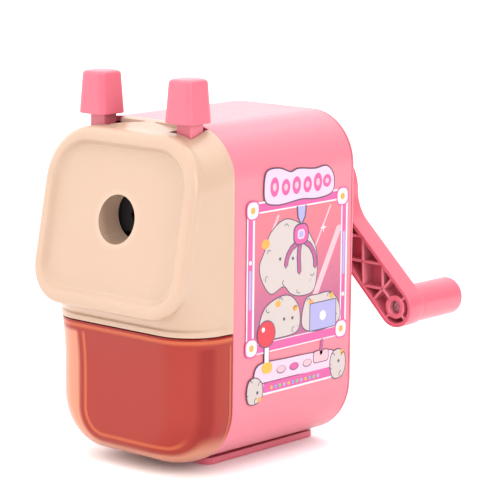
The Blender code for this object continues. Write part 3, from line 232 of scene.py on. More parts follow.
def turned_loops(profile, centre, steps=64):
    """Circles about an axis along Y; the profile gives (radius, y)."""
    return [upright(ring_of(radius, centre, steps), y) for radius, y in profile]


print("edges stay sharp above", SHARP, "degrees")


# %% [markdown]
# ## Finishes
# Moulded ABS is never one flat colour. The pigment drifts a little over a large part, the
# mould's polish leaves a fine grain that breaks up the gloss, and convex edges are painted a
# touch paler. Each plastic here is built from those three effects.

# %% Shader helpers
def node(tree, kind, **values):
    """A shader node with its inputs or settings filled in."""
    made = tree.nodes.new(kind)
    for key, value in values.items():
        if key in made.inputs:
            made.inputs[key].default_value = value
        else:
            setattr(made, key, value)
    return made


def feed(tree, value, socket):
    """Joins a socket to another node's output, or sets it to a number or a colour."""
    if isinstance(value, bpy.types.NodeSocket):
        tree.links.new(value, socket)
    elif isinstance(value, tuple):
        socket.default_value = (*value, 1.0)
    else:
        socket.default_value = value


def carried(tree, value, start, end, low=0.0, high=1.0, ease="LINEAR"):
    """A value whose run from start to end is carried over to low to high."""
    made = node(tree, "ShaderNodeMapRange", interpolation_type=ease)
    settings = {"Value": value, "From Min": start, "From Max": end, "To Min": low, "To Max": high}
    for name, setting in settings.items():
        feed(tree, setting, made.inputs[name])
    return made.outputs["Result"]


def smooth_mask(tree, value, start, end):
    """0 to 1 between two values of a coordinate, eased at both ends."""
    return carried(tree, value, start, end, ease="SMOOTHSTEP")


def calculate(tree, operation, *values):
    """A maths node on numbers or other nodes' outputs."""
    made = node(tree, "ShaderNodeMath", operation=operation)
    for socket, value in zip(made.inputs, values):
        feed(tree, value, socket)
    return made.outputs["Value"]


print("kinds of socket value: link, colour, number")


# %% Patterns and surfaces
def cloud(tree, place, scale, detail, **values):
    """A soft random pattern between 0 and 1."""
    made = node(tree, "ShaderNodeTexNoise", Scale=scale, Detail=detail, **values)
    feed(tree, place, made.inputs["Vector"])
    return made.outputs["Fac"]


def along_axes(tree, place):
    """The three coordinates of a place."""
    split = node(tree, "ShaderNodeSeparateXYZ")
    feed(tree, place, split.inputs["Vector"])
    return [split.outputs[axis] for axis in "XYZ"]


def blend(tree, factor, one, two):
    """One colour that turns into another."""
    mixed = node(tree, "ShaderNodeMix", data_type="RGBA")
    for name, value in (("Factor", factor), ("A", one), ("B", two)):
        feed(tree, value, mixed.inputs[name])
    return mixed.outputs["Result"]


def colour_bands(tree, value, bands):
    """Colours along a coordinate: each band gives where it stands and its colour."""
    start, end = bands[0][0], bands[-1][0]
    ramp = node(tree, "ShaderNodeValToRGB")
    stops = ramp.color_ramp.elements
    for where, _ in bands[1:-1]:
        stops.new((where - start) / (end - start))
    for stop, (_, colour) in zip(stops, bands):
        stop.color = (*colour, 1.0)
    feed(tree, carried(tree, value, start, end), ramp.inputs["Fac"])
    return ramp.outputs["Color"]


def new_finish(name):
    """A material, its nodes, and the place on the piece that its patterns follow."""
    material = bpy.data.materials.new(name)
    material.use_nodes = True
    tree = material.node_tree
    return material, tree, node(tree, "ShaderNodeTexCoord").outputs["Object"]


def surface(tree, colour, smear, gloss, grain, strength, deep, more):
    """Colour, a gloss that follows one pattern, and a relief in mm that follows another."""
    shader = tree.nodes["Principled BSDF"]
    feed(tree, colour, shader.inputs["Base Color"])
    feed(tree, carried(tree, smear, 0.0, 1.0, *gloss), shader.inputs["Roughness"])
    relief = node(tree, "ShaderNodeBump", Strength=strength, Distance=deep * MM)
    feed(tree, grain, relief.inputs["Height"])
    feed(tree, relief.outputs["Normal"], shader.inputs["Normal"])
    for name, value in more.items():
        shader.inputs[name].default_value = value


print("each surface joins a colour, a gloss and a relief")


# %% Moulded plastic
def moulded_plastic(name, colour, drift, edge_tone, gloss=(0.24, 0.38), grain=0.012, ior=1.5, fade=None):
    """Glossy coloured plastic: drift is the second pigment tone, and the third colour is the paler tone
    painted on convex edges.
    A fade gives the two heights between which the colour turns into its drift."""
    material, tree, place = new_finish(name)
    if fade:
        share = carried(tree, along_axes(tree, place)[2], *fade)
    else:
        share = cloud(tree, place, 38.0, 3.0, Roughness=0.55)
    # Convex edges, found by pointiness, are painted a touch paler in the third colour.
    edge = node(tree, "ShaderNodeNewGeometry").outputs["Pointiness"]
    convex_paleness = carried(tree, edge, 0.53, 0.62, 0.0, 0.35)
    paint = blend(tree, convex_paleness, blend(tree, share, colour, drift), edge_tone)
    smear = cloud(tree, place, 160.0, 4.0, Roughness=0.6)
    pores = cloud(tree, place, 2600.0, 2.0)
    surface(tree, paint, smear, gloss, pores, 0.35, grain, {"IOR": ior})
    return material


PINK = moulded_plastic("pink_abs", (0.555, 0.096, 0.138), (0.585, 0.11, 0.158), (0.68, 0.24, 0.29))
CREAM = moulded_plastic("cream_abs", (0.43, 0.288, 0.205), (0.455, 0.31, 0.225), (0.58, 0.44, 0.34))
BLACK = moulded_plastic(
    "black_nylon", (0.006, 0.003, 0.003), (0.010, 0.006, 0.006), (0.05, 0.045, 0.05),
    (0.45, 0.65), 0.03, 1.25,
)
print("plastics:", PINK.name, CREAM.name, BLACK.name)


# %% [markdown]
# The drawer is clear orange polystyrene with a fine matt inside. Its light and shade are
# painted into its colour: painted orange glow lines along the rims, painted light in salmon on
# the lit left corner and painted deep red shade on the corner turned away from the light. The
# painted colours are bands that follow the wall: distance from the hollow's rounded corner in
# front, depth at the side, and height at the top.

# %% Clear orange plastic
# Besides the body tone and the cloudy tone, these are painted light: a deep red painted shade, an orange
# painted glow, a salmon painted lit tone and a dusky painted shade.
BODY, PAINTED_SHADE_RED = (0.315, 0.022, 0.014), (0.235, 0.002, 0.001)
PAINTED_GLOW_ORANGE, PAINTED_LIT_SALMON, PAINTED_SHADE_DUSKY = (0.50, 0.10, 0.035), (0.60, 0.25, 0.15), (0.30, 0.022, 0.012)
CLOUDY = (0.36, 0.05, 0.03)
BAND_MIDDLE_X, BAND_HALF, BAND_FLOOR = 6.0, 13.0, 18.2
TOP_BAND = 4.2


def clear_plastic_with_painted_light(name):
    """Clear orange plastic whose glow lines, lit corner and shaded corner are painted into the colour along
    the shape.
    """
    material, tree, place = new_finish(name)
    x, y, z = (calculate(tree, "MULTIPLY", axis, 1000.0) for axis in along_axes(tree, place))
    depth = calculate(tree, "SUBTRACT", y, SEAM / MM)

    across = calculate(tree, "ABSOLUTE", calculate(tree, "SUBTRACT", x, BAND_MIDDLE_X))
    across = calculate(tree, "MAXIMUM", calculate(tree, "SUBTRACT", across, BAND_HALF), 0.0)
    down = calculate(tree, "MAXIMUM", calculate(tree, "SUBTRACT", BAND_FLOOR, z), 0.0)
    squares = [calculate(tree, "POWER", value, 2.0) for value in (across, down)]
    away = calculate(tree, "SQRT", calculate(tree, "ADD", *squares))
    # Painted light on the front, by distance from the middle: a painted orange glow line, a dusky painted
    # shade band, then the painted lit salmon further out towards the lit left corner.
    front = colour_bands(tree, away, [
        (5.0, BODY), (7.3, BODY), (7.9, PAINTED_GLOW_ORANGE), (8.5, PAINTED_GLOW_ORANGE), (8.9, PAINTED_SHADE_DUSKY), (10.2, PAINTED_SHADE_DUSKY),
        (11.6, PAINTED_LIT_SALMON), (14.0, PAINTED_LIT_SALMON),
    ])
    # Painted light on the right side, by depth: painted deep red shade streaks, dusky painted shade and a
    # thin painted orange glow line just in front of the seam.
    side = colour_bands(tree, depth, [
        (-17.0, BODY), (-13.4, BODY), (-11.4, PAINTED_SHADE_RED), (-8.8, PAINTED_SHADE_RED), (-6.8, BODY), (-2.6, PAINTED_SHADE_DUSKY),
        (-2.0, PAINTED_SHADE_RED), (-1.8, PAINTED_GLOW_ORANGE), (-1.2, PAINTED_GLOW_ORANGE), (-1.0, PAINTED_SHADE_RED), (0.0, PAINTED_SHADE_DUSKY),
    ])
    to_side = calculate(
        tree, "MULTIPLY", smooth_mask(tree, x, 20.0, 26.0), smooth_mask(tree, z, 8.0, 15.0)
    )
    colour = blend(tree, to_side, front, side)
    top = DRAWER_TOP / MM
    band_start = top - TOP_BAND
    # Painted light along the top: a deep red painted shade line at the very top under the lip, a thin
    # painted orange glow line below it and dusky painted shade below that.
    edge = colour_bands(tree, z, [
        (band_start, BODY), (top - 2.4, PAINTED_SHADE_DUSKY), (top - 1.5, PAINTED_GLOW_ORANGE), (top - 0.9, PAINTED_GLOW_ORANGE),
        (top - 0.6, PAINTED_SHADE_RED), (top, PAINTED_SHADE_RED),
    ])
    colour = blend(tree, smooth_mask(tree, z, band_start, band_start + 1.6), colour, edge)

    share = calculate(tree, "MULTIPLY", cloud(tree, place, 34.0, 3.0), 0.28)
    haze = cloud(tree, place, 420.0, 3.0)
    surface(
        tree, blend(tree, share, colour, CLOUDY), haze, (0.14, 0.26), haze, 0.2, 0.01,
        {"Transmission Weight": 0.12, "IOR": 1.34},
    )
    return material


AMBER = clear_plastic_with_painted_light("clear_orange")
print("glowing band at the drawer's top in mm:", TOP_BAND)


# %% [markdown]
# Metals differ in how they were worked. Ground rods carry fine lines round them, the zinc
# casting is coarse and dull, hardened steel is dark with bright cutting edges, and the brass
# pinion is warm and a little tarnished.

# %% Metals
def worked_metal(name, colour, dark, gloss, grain, stretch=(1.0, 1.0, 1.0), bump=0.02):
    """Bare metal with a fine pattern of two tones, left by grinding or casting."""
    material, tree, place = new_finish(name)
    aim = node(tree, "ShaderNodeMapping", Scale=stretch)
    feed(tree, place, aim.inputs["Vector"])
    lines = cloud(tree, aim.outputs["Vector"], grain, 5.0, Roughness=0.65)
    paint = blend(tree, lines, dark, colour)
    surface(tree, paint, lines, gloss, lines, 0.4, bump, {"Metallic": 1.0})
    return material


STEEL = worked_metal("ground_steel", (0.62, 0.62, 0.64), (0.45, 0.45, 0.47), (0.18, 0.34), 900.0, (1, 8, 1))
HARD_STEEL = worked_metal("hardened_steel", (0.36, 0.36, 0.38), (0.2, 0.2, 0.22), (0.22, 0.42), 700.0)
ZINC = worked_metal("zinc_casting", (0.5, 0.5, 0.52), (0.36, 0.36, 0.38), (0.38, 0.6), 350.0, bump=0.08)
BRASS = worked_metal("brass", (0.78, 0.56, 0.24), (0.56, 0.36, 0.13), (0.25, 0.45), 500.0)
print("metals:", STEEL.name, HARD_STEEL.name, ZINC.name, BRASS.name)


# %% [markdown]
# ## The housing
# A tube along Y, moulded with a wall of 2 mm and closed behind by a cover that is rounded at
# its back edge. Both come from the same outline, so the seam between them is only a hairline.

# %% Housing shell and rear cover
def housing_outline(inset=0.0):
    return rounded(
        HALF_WIDTH - inset, TOP - inset, BOTTOM + inset, TOP_RADIUS - inset, BOTTOM_RADIUS - inset
    )


EDGE = 0.35 * MM
shell_back = shell_high.y
loops = [upright(housing_outline(WALL), SEAM), upright(housing_outline(EDGE), SEAM)]
loops += [upright(housing_outline(EDGE - i), SEAM + EDGE - d) for d, i in quarter(EDGE, 3)][1:]
loops += [upright(housing_outline(), shell_back), upright(housing_outline(WALL), shell_back)]
housing = skinned("housing_skin", loops, PINK, ring=True)
mount(housing, "housing", ["housing_shell"])

REAR_ROUNDING = 1.2 * MM
cup_hole = circle_like(housing_outline(), 15.6 * MM)
loops = [upright(cup_hole, cover_low.y), upright(housing_outline(), cover_low.y)]
loops += [
    upright(housing_outline(inset), BACK - depth) for inset, depth in quarter(REAR_ROUNDING, 6)
]
loops += [upright(cup_hole, BACK)]
rear = skinned("rear_cover_skin", loops, PINK, ring=True)
mount(rear, "housing", ["rear_cover"])
print("housing depth:", round((BACK - SEAM) / MM, 1), "mm")


# %% [markdown]
# ## The printed side
# The right side is printed like a toy grabber machine: a framed window with soft toys behind
# it, a claw, a sign and a little control shelf. Real prints of this kind are pad printed, one
# thin film of ink for each colour, laid over one another. Here each colour is one piece of
# films that follow the curve of the housing, and each layer stands about a hundredth of a
# millimetre above the one below it. The toys are plain clouds and balls, and the sign carries
# no lettering.

# %% Inks
def shade(red, green, blue):
    """A display colour as linear values, held back to what ink reflects in strong light."""
    return tuple(0.62 * ((c / 255 + 0.055) / 1.055) ** 2.4 for c in (red, green, blue))


def ink(name, low, high=None):
    """Printing ink. With two colours it fades from the first to the second up the window."""
    fade = (44.0 * MM, 80.0 * MM) if high else None
    high = high or tuple(min(c * 1.06 + 0.005, 1.0) for c in low)
    return moulded_plastic(f"{name}_ink", low, high, high, (0.24, 0.36), 0.006, fade=fade)


COLOURS = {
    "white": [(250, 235, 238)],
    "magenta": [(226, 82, 160)],
    "window": [(150, 66, 146), (242, 120, 134)],
    "pale": [(248, 190, 200)],
    "grey": [(215, 200, 196)],
    "orange": [(245, 172, 62)],
    "lilac": [(178, 172, 226)],
    "plum": [(188, 78, 140)],
    "red": [(226, 24, 52)],
    "yellow": [(242, 184, 48)],
    "shelf": [(246, 206, 226)],
    "dark": [(84, 60, 92)],
    "blue": [(110, 170, 225)],
    "green": [(130, 200, 120)],
}
INKS = {name: ink(name, *(shade(*colour) for colour in tones)) for name, tones in COLOURS.items()}
print("inks:", len(INKS))


# %% Drawing tools
def side_x(z):
    """How far out the housing's side stands at a height."""
    rise = max(z - (TOP - TOP_RADIUS), 0.0)
    return HALF_WIDTH - TOP_RADIUS + math.sqrt(TOP_RADIUS**2 - rise**2)


def curved(points, steps=5):
    """A closed smooth line through its points (Catmull-Rom)."""
    line = []
    count = len(points)
    for k in range(count):
        a, b, c, d = (Vector(points[(k + i) % count]) for i in (-1, 0, 1, 2))
        for i in range(steps):
            t = i / steps
            line.append(
                ((2 * b) + (c - a) * t + (2 * a - 5 * b + 4 * c - d) * t**2
                 + (3 * b - a - 3 * c + d) * t**3) / 2
            )
    return [tuple(point) for point in line]


def area(outline):
    """The area inside, negative where the outline runs clockwise."""
    total = 0.0
    for (a, b), (c, d) in zip(outline, outline[1:] + outline[:1]):
        total += a * d - b * c
    return total / 2


def spread(outline, by):
    """The outline pushed outwards, for the dark line round a shape."""
    if area(outline) < 0:
        by = -by
    grown = []
    for k, point in enumerate(outline):
        along = Vector(outline[(k + 1) % len(outline)]) - Vector(outline[k - 1])
        grown.append(tuple(Vector(point) + Vector((along.y, -along.x)).normalized() * by))
    return grown


def disc(y, z, radius, tall=1.0):
    return [(y + a, z + b * tall) for a, b in ring_of(radius, steps=24)]


def panel_shape(low_y, low_z, high_y, high_z, radius):
    y, z = (low_y + high_y) / 2, (low_z + high_z) / 2
    half = (high_y - low_y) / 2
    tall = (high_z - low_z) / 2
    return [(y + a, z + b) for a, b in rounded(half, tall, -tall, radius, radius, 5, 1)]


def stroke(points, width):
    """A line of even width through two or more points, with round ends."""
    line = [Vector(p) for p in points]
    sides = []
    for k, point in enumerate(line):
        along = (line[min(k + 1, len(line) - 1)] - line[max(k - 1, 0)]).normalized()
        sides.append((point, Vector((-along.y, along.x)) * width / 2, along))
    left = [p + n for p, n, _ in sides]
    right = [p - n for p, n, _ in reversed(sides)]
    tip = [sides[-1][0] + sides[-1][2] * width / 2]
    tail = [sides[0][0] - sides[0][2] * width / 2]
    return [tuple(p) for p in left + tip + right + tail]


print("points in a small disc:", len(disc(0, 0, 1)))


# %% Films of ink
films = {name: bmesh.new() for name in INKS}
FILM, FILM_ROOT = 0.014 * MM, 0.02 * MM
BEND_LEVELS = (93.0, 94.5, 96.0, 97.5)


def lay(name, outline, layer):
    """Prints a closed outline, in mm back and up, as a thin film over those below it."""
    builder = bmesh.new()
    builder.faces.new([builder.verts.new((0, y * MM, z * MM)) for y, z in outline])
    for level in BEND_LEVELS:
        everything = builder.verts[:] + builder.edges[:] + builder.faces[:]
        bmesh.ops.bisect_plane(
            builder, geom=everything, plane_co=(0, 0, level * MM), plane_no=(0, 0, 1)
        )
    bmesh.ops.triangulate(builder, faces=builder.faces[:])
    made = bmesh.ops.extrude_face_region(builder, geom=builder.faces[:])
    front = {v for v in made["geom"] if isinstance(v, bmesh.types.BMVert)}
    for vertex in builder.verts:
        out = FILM_ROOT + layer * FILM if vertex in front else -FILM_ROOT
        vertex.co.x = side_x(vertex.co.z) + out
    mesh = bpy.data.meshes.new("film")
    builder.to_mesh(mesh)
    builder.free()
    films[name].from_mesh(mesh)
    bpy.data.meshes.remove(mesh)


def inks_used():
    return sum(1 for film in films.values() if film.faces)


print("film thickness:", round(FILM / MM, 3), "mm for each layer")


# %% Window and its frame
lay("white", panel_shape(-26.3, 37.9, 23.6, 86.8, 3.0), 0)
lay("magenta", panel_shape(-25.7, 38.3, 22.8, 86.2, 2.6), 1)
lay("white", panel_shape(-23.5, 41.1, 20.9, 83.6, 1.4), 2)
lay("window", panel_shape(-22.6, 41.4, 20.3, 83.1, 1.0), 3)
for y, z in ((-23.6, 84.4), (20.8, 84.2), (-23.7, 40.4), (21.0, 40.1)):
    lay("magenta", panel_shape(y - 3.1, z - 3.1, y + 3.1, z + 3.1, 2.2), 4)
    lay("white", panel_shape(y - 2.6, z - 2.6, y + 2.6, z + 2.6, 2.0), 5)
    lay("orange", disc(y, z, 1.1), 6)
lay("white", disc(-24.6, 67.9, 0.7), 4)
lay("lilac", stroke([(-24.6, 53.2), (-24.6, 65.0)], 1.2), 4)
lay("lilac", stroke([(21.8, 58.7), (21.8, 72.1)], 1.2), 4)
lay("white", disc(21.8, 51.6, 0.7), 4)
lay("pale", stroke([(14.7, 81.9), (7.0, 68.9)], 0.7), 4)
lay("pale", stroke([(19.2, 74.0), (6.8, 52.2)], 2.5), 4)
lay("pale", stroke([(-11.3, 81.4), (-15.3, 74.9)], 1.0), 4)
lay("white", [(11.2, 76.8), (11.5, 75.3), (13.0, 75.0), (11.5, 74.7), (11.2, 73.2), (10.9, 74.7),
              (9.4, 75.0), (10.9, 75.3)], 5)
print("inks used so far:", inks_used())


# %% Soft toys and the claw
CURL_PLACE, CURL_RADIUS = 0.84, 0.9


def toy(outline, layer, patches, spots):
    """A plain soft toy: a body with a dark line round it, orange patches and dark spots."""
    body = curved(outline)
    lay("dark", spread(body, 0.35), layer)
    lay("grey", body, layer + 1)
    for y, z, radius in patches:
        lay("orange", disc(y, z, radius, 0.8), layer + 2)
    for y, z in spots:
        lay("dark", disc(y, z, 0.55), layer + 2)
    middle = sum((Vector(p) for p in outline), Vector((0, 0))) / len(outline)
    for k, point in enumerate(outline[::2]):
        at = middle.lerp(Vector(point), CURL_PLACE)
        curl = arc(at, CURL_RADIUS, 40 * k, 40 * k + 150, 6)
        lay("dark", stroke(curl, 0.28), layer + 2)


toy([(-7.7, 79.8), (-14.7, 76.4), (-17.6, 70.9), (-20.1, 66.2), (-18.6, 61.0), (-14.4, 56.7),
     (-8.5, 58.4), (-4.8, 55.6), (0.0, 54.2), (6.1, 54.9), (8.0, 60.0), (7.8, 67.2),
     (5.4, 72.0), (0.8, 76.8)], 5, [(-17.4, 73.0, 2.0)], [(-10.3, 67.4), (-4.0, 66.8)])
toy([(-10.0, 55.0), (-4.6, 54.4), (-1.0, 50.6), (-0.2, 46.0), (-2.0, 42.6), (-10.0, 42.0),
     (-17.6, 42.6), (-20.0, 46.6), (-17.2, 52.4)], 8, [(-11.1, 53.0, 1.4), (-2.6, 50.4, 1.2)],
    [(-3.9, 47.4), (-8.0, 47.6)])
toy([(3.0, 52.4), (9.0, 53.2), (15.4, 53.0), (19.4, 49.0), (20.0, 44.0), (15.0, 41.8),
     (5.0, 41.8), (0.9, 45.0)], 8, [(5.3, 51.2, 1.2), (15.8, 52.0, 1.2)], [])
lay("dark", panel_shape(4.7, 41.4, 18.3, 50.8, 0.8), 11)
lay("lilac", panel_shape(5.0, 41.7, 18.0, 50.5, 0.6), 12)
lay("white", disc(11.4, 46.0, 1.6), 13)
lay("dark", stroke([(-2.1, 83.2), (-1.7, 79.8), (0.1, 77.4), (1.8, 79.8), (2.2, 83.2)], 0.7), 11)
lay("lilac", [(-1.9, 83.2), (-1.5, 79.9), (-0.1, 77.6), (1.5, 79.9), (1.9, 83.2)], 12)
lay("dark", panel_shape(-3.9, 70.7, 3.6, 77.7, 2.6), 13)
lay("magenta", panel_shape(-3.5, 71.1, 3.2, 77.3, 2.3), 14)
lay("shelf", panel_shape(-1.9, 72.6, 1.6, 75.8, 1.2), 15)
lay("lilac", panel_shape(-1.3, 73.1, 1.0, 75.2, 0.8), 16)
for prong in (
    [(-2.4, 71.2), (-4.6, 70.2), (-6.3, 68.3), (-7.1, 66.6), (-7.4, 64.9)],
    [(-0.6, 71.0), (-1.0, 68.8), (-1.1, 66.6), (-0.9, 64.2), (-0.7, 62.0)],
    [(2.1, 71.4), (4.6, 69.8), (6.4, 67.4), (7.1, 65.2), (7.2, 63.0)],
):
    lay("dark", stroke(prong, 2.0), 11)
    lay("plum", stroke(prong, 1.4), 12)
print("inks used so far:", inks_used())


# %% The blank sign
sign = curved([(-18.2, 90.3), (-17.0, 95.8), (-11.0, 96.4), (-5.6, 94.7), (-1.5, 95.4), (6.4, 94.6),
               (12.5, 94.9), (15.9, 91.4), (15.2, 86.4), (7.9, 85.2), (0.0, 85.8), (-7.8, 85.2),
               (-12.5, 85.2), (-17.2, 86.4)])
lay("dark", spread(sign, 0.45), 7)
lay("shelf", sign, 8)
for y, z, tall in ((-13.4, 90.8, 1.2), (-7.9, 90.2, 1.0), (-2.6, 90.3, 1.1), (2.8, 90.0, 1.0),
                   (8.0, 90.2, 1.15), (12.6, 90.2, 0.8)):
    lay("magenta", disc(y, z, 2.1, 1.25 * tall), 9)
    lay("pale", disc(y, z, 0.9, 1.2 * tall), 10)
print("inks used so far:", inks_used())


# %% Controls under the window
lay("dark", curved([(-20.2, 34.6), (-6.6, 34.7), (6.7, 34.4), (17.3, 33.5), (16.2, 27.4),
                    (-1.0, 28.0), (-18.0, 28.1), (-22.4, 29.0)]), 6)
lay("shelf", curved([(-19.9, 34.3), (-6.6, 34.4), (6.7, 34.1), (17.0, 33.2), (15.9, 27.8),
                     (-1.0, 28.3), (-17.9, 28.4), (-22.0, 29.2)]), 7)
lay("white", panel_shape(-18.1, 24.2, 16.6, 28.3, 0.6), 6)
lay("magenta", panel_shape(-17.9, 24.9, 16.4, 28.1, 0.5), 8)
dots = ("yellow", "blue", "green", "lilac")
DOT_PITCH = 2.12
for k in range(12):
    lay(dots[k % 4], disc(-13.8 + k * DOT_PITCH, 26.2, 0.62), 9)
for y, colour in ((-9.1, "pale"), (-2.7, "magenta"), (3.9, "pale")):
    lay("dark", disc(y, 31.3, 2.3, 0.55), 8)
    lay(colour, disc(y, 31.4, 2.0, 0.52), 9)
lay("dark", disc(-16.7, 44.0, 4.5), 14)
lay("red", disc(-16.7, 44.0, 4.15), 15)
lay("white", disc(-18.2, 45.6, 0.8), 16)
lay("dark", stroke([(-16.4, 33.6), (-16.4, 39.2)], 2.6), 12)
lay("white", stroke([(-16.4, 33.8), (-16.4, 39.4)], 2.0), 13)
lay("yellow", panel_shape(-18.6, 31.2, -13.7, 34.7, 1.5), 14)
lay("plum", stroke([(10.9, 33.4), (11.4, 37.6)], 1.4), 10)
lay("dark", panel_shape(6.9, 30.4, 14.8, 34.6, 1.2), 9)
lay("pale", panel_shape(7.2, 30.7, 14.5, 34.3, 1.0), 10)
toy([(-24.6, 29.6), (-21.6, 30.4), (-18.8, 28.4), (-18.4, 24.4), (-21.0, 22.3), (-24.6, 22.6),
     (-25.6, 26.0)], 9, [(-19.6, 23.2, 1.0)], [(-20.7, 25.6)])
toy([(16.4, 32.0), (19.6, 33.3), (22.8, 31.6), (23.4, 27.4), (21.6, 24.2), (17.4, 24.2),
     (15.8, 28.0)], 9, [(21.6, 32.2, 1.0)], [(20.0, 29.4)])

for name, builder in films.items():
    mount(new_piece(f"print_{name}", builder, INKS[name]), "housing")
print("films printed:", len(films))


# %% [markdown]
# ## The foot plate
# A low slab with small rounded edges. It only peeps out below the housing, where it casts the
# thin shadow that makes the box seem to float.

# %% Foot plate
def slab_outline(inset, corner=3.0 * MM):
    radius = corner - inset
    return rounded(
        plate_high.x - inset, plate_high.y - inset, plate_low.y + inset, radius, radius, 6, 1
    )


FOOT_ROUNDING = 0.4 * MM
levels = [(i, plate_low.z + d) for i, d in quarter(FOOT_ROUNDING, 3)][::-1]
levels += [(i, plate_high.z - d) for i, d in quarter(FOOT_ROUNDING, 3)]
loops = [[(x, y, z) for x, y in slab_outline(inset)] for inset, z in levels]
foot = skinned("foot_plate_skin", loops, PINK)
mount(foot, "housing", ["foot_plate"])
print("foot plate in mm:", [round(v / MM, 1) for v in plate_high - plate_low])


# %% [markdown]
# ## The feed head
# The cream front is one moulding: a back edge flush with the housing, a lip over the drawer, a
# raised rim round a sunk panel, and the sleeve the pencil goes through. Seen in section it is
# one closed line, so the whole shell is one skin whose last outline meets its first.

# %% Feed head outlines
SLOPE = 0.2
RIM_FRONT = SEAM - 20.9 * MM
RIM_ROUND = 2.6 * MM
PANEL_DEPTH = 2.2 * MM
RIM_FLAT = 3.7 * MM
RIM_WIDTH = 6.3 * MM
RIM_HALF, RIM_TOP, RIM_BOTTOM = 32.7 * MM, 108.8 * MM, 52.3 * MM
RIM_TOP_RADIUS, RIM_BOTTOM_RADIUS = 17.5 * MM, 13.0 * MM
MOUTH = 1.5 * MM
SPLIT_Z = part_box("head_cover")[0].z
LIP_DEPTH = 19.0 * MM
LIP_RADIUS = 14.5 * MM
LIP_HEIGHT = 2.2 * MM
SPLIT_ROUNDING = 0.6 * MM
CORNER, SIDE = 16, 8
HOLE_RADIUS = 7.75 * MM
SLEEVE_BACK, SLEEVE_WALL = SEAM - 9.9 * MM, 1.6 * MM


def seam_outline(inset=0.0):
    return rounded(
        HALF_WIDTH - inset, TOP - inset, SPLIT_Z + inset,
        TOP_RADIUS - inset, SPLIT_ROUNDING, CORNER, SIDE,
    )


def rim_outline(inset=0.0):
    return rounded(
        RIM_HALF - inset, RIM_TOP - inset, RIM_BOTTOM + inset,
        RIM_TOP_RADIUS - inset, RIM_BOTTOM_RADIUS - inset, CORNER, SIDE,
    )


def on_face(outline, front):
    """Lays an outline on the sloping front."""
    return [(x, front + SLOPE * (z - AXIS_Z), z) for x, z in outline]


def lip_corner(step, band, shrink):
    """How far out and forward the lip stands: round its corner, then straight back."""
    bend = CORNER - 4
    straight = LIP_DEPTH - LIP_RADIUS
    if step > bend:
        share = (step - bend) / (CORNER - bend)
        return HALF_WIDTH - shrink * (1 - share), straight + (band - straight) * share
    turn = math.pi / 2 * step / bend
    radius = LIP_RADIUS - shrink
    return HALF_WIDTH - LIP_RADIUS + radius * math.sin(turn), straight + radius * math.cos(turn)


def lip_loop(z, band, shrink=0.0):
    """The seam outline whose lower edge is carried forwards along the lip."""
    seam = seam_outline()
    last = len(seam) - SIDE
    flat = (HALF_WIDTH - LIP_RADIUS) / (HALF_WIDTH - SPLIT_ROUNDING)
    loop = []
    for k, (x, z_seam) in enumerate(seam):
        if k > last:
            loop.append((x * flat, SEAM - LIP_DEPTH + shrink, z))
        elif k <= CORNER or k >= last - CORNER:
            half, depth = lip_corner(min(k, last - k), band, shrink)
            loop.append((math.copysign(half, x), SEAM - depth, z))
        else:
            loop.append((x, SEAM - band, z_seam))
    return loop


def blended(first, last, share):
    """A loop between the lip and the rim that leaves straight and arrives heading forwards."""
    made = []
    for one, two in zip(first, last):
        p, q, t = Vector(one), Vector(two), share
        arrive = Vector((0, -(q - p).length, 0))
        leave = (q - p) * 0.9
        made.append(
            p * (2 * t**3 - 3 * t**2 + 1) + leave * (t**3 - 2 * t**2 + t)
            + q * (3 * t**2 - 2 * t**3) + arrive * (t**3 - t**2)
        )
    return made


print("points in the lip's outline:", len(lip_loop(SPLIT_Z, 0.0)))


# %% Feed head shell
loops = [upright(seam_outline(WALL), SEAM), upright(seam_outline(0.25 * MM), SEAM)]
loops += [
    lip_loop(SPLIT_Z, 0.25 * MM, 0.45 * MM),
    lip_loop(SPLIT_Z + 0.1 * MM, 0.5 * MM, 0.12 * MM),
    lip_loop(SPLIT_Z + 0.45 * MM, 0.8 * MM),
    lip_loop(SPLIT_Z + LIP_HEIGHT - 0.5 * MM, 1.4 * MM),
]
lip_top = lip_loop(SPLIT_Z + LIP_HEIGHT, 1.8 * MM, 0.5 * MM)
loops += [lip_top]
rim_back = on_face(rim_outline(0.25 * MM), RIM_FRONT + 4.2 * MM)
for share in (0.12, 0.28, 0.46, 0.64, 0.82, 0.94):
    loops.append(blended(lip_top, rim_back, share))
loops += [rim_back, on_face(rim_outline(0.03 * MM), RIM_FRONT + 3.4 * MM)]
for inset, depth in quarter(RIM_ROUND, 8):
    loops.append(on_face(rim_outline(inset), RIM_FRONT + depth))
for k in range(9):
    share = k / 8
    sunk = PANEL_DEPTH * share * share * (3 - 2 * share)
    inset = RIM_FLAT + (RIM_WIDTH - RIM_FLAT) * share
    loops.append(on_face(rim_outline(inset), RIM_FRONT + sunk))
panel = RIM_FRONT + PANEL_DEPTH
panel_outline = rim_outline(RIM_WIDTH)
mouth_circle = circle_like(panel_outline, HOLE_RADIUS + MOUTH)
for share in (0.08, 0.3, 0.55, 0.8, 0.95):
    mixed = [
        (a[0] + (b[0] - a[0]) * share, a[1] + (b[1] - a[1]) * share)
        for a, b in zip(panel_outline, mouth_circle)
    ]
    loops.append(on_face(mixed, panel))
for depth, inset in quarter(MOUTH, 6):
    ring = circle_like(panel_outline, HOLE_RADIUS + MOUTH - inset)
    loops.append(on_face(ring, panel + depth))
hole = circle_like(panel_outline, HOLE_RADIUS)
sleeve = circle_like(panel_outline, HOLE_RADIUS + SLEEVE_WALL)
loops += [
    upright(hole, SLEEVE_BACK), upright(sleeve, SLEEVE_BACK), on_face(sleeve, panel + WALL),
    on_face(panel_outline, panel + WALL),
]
head = skinned("feed_head_skin", loops, CREAM, ring=True)
print("feed head faces:", len(head.data.polygons))


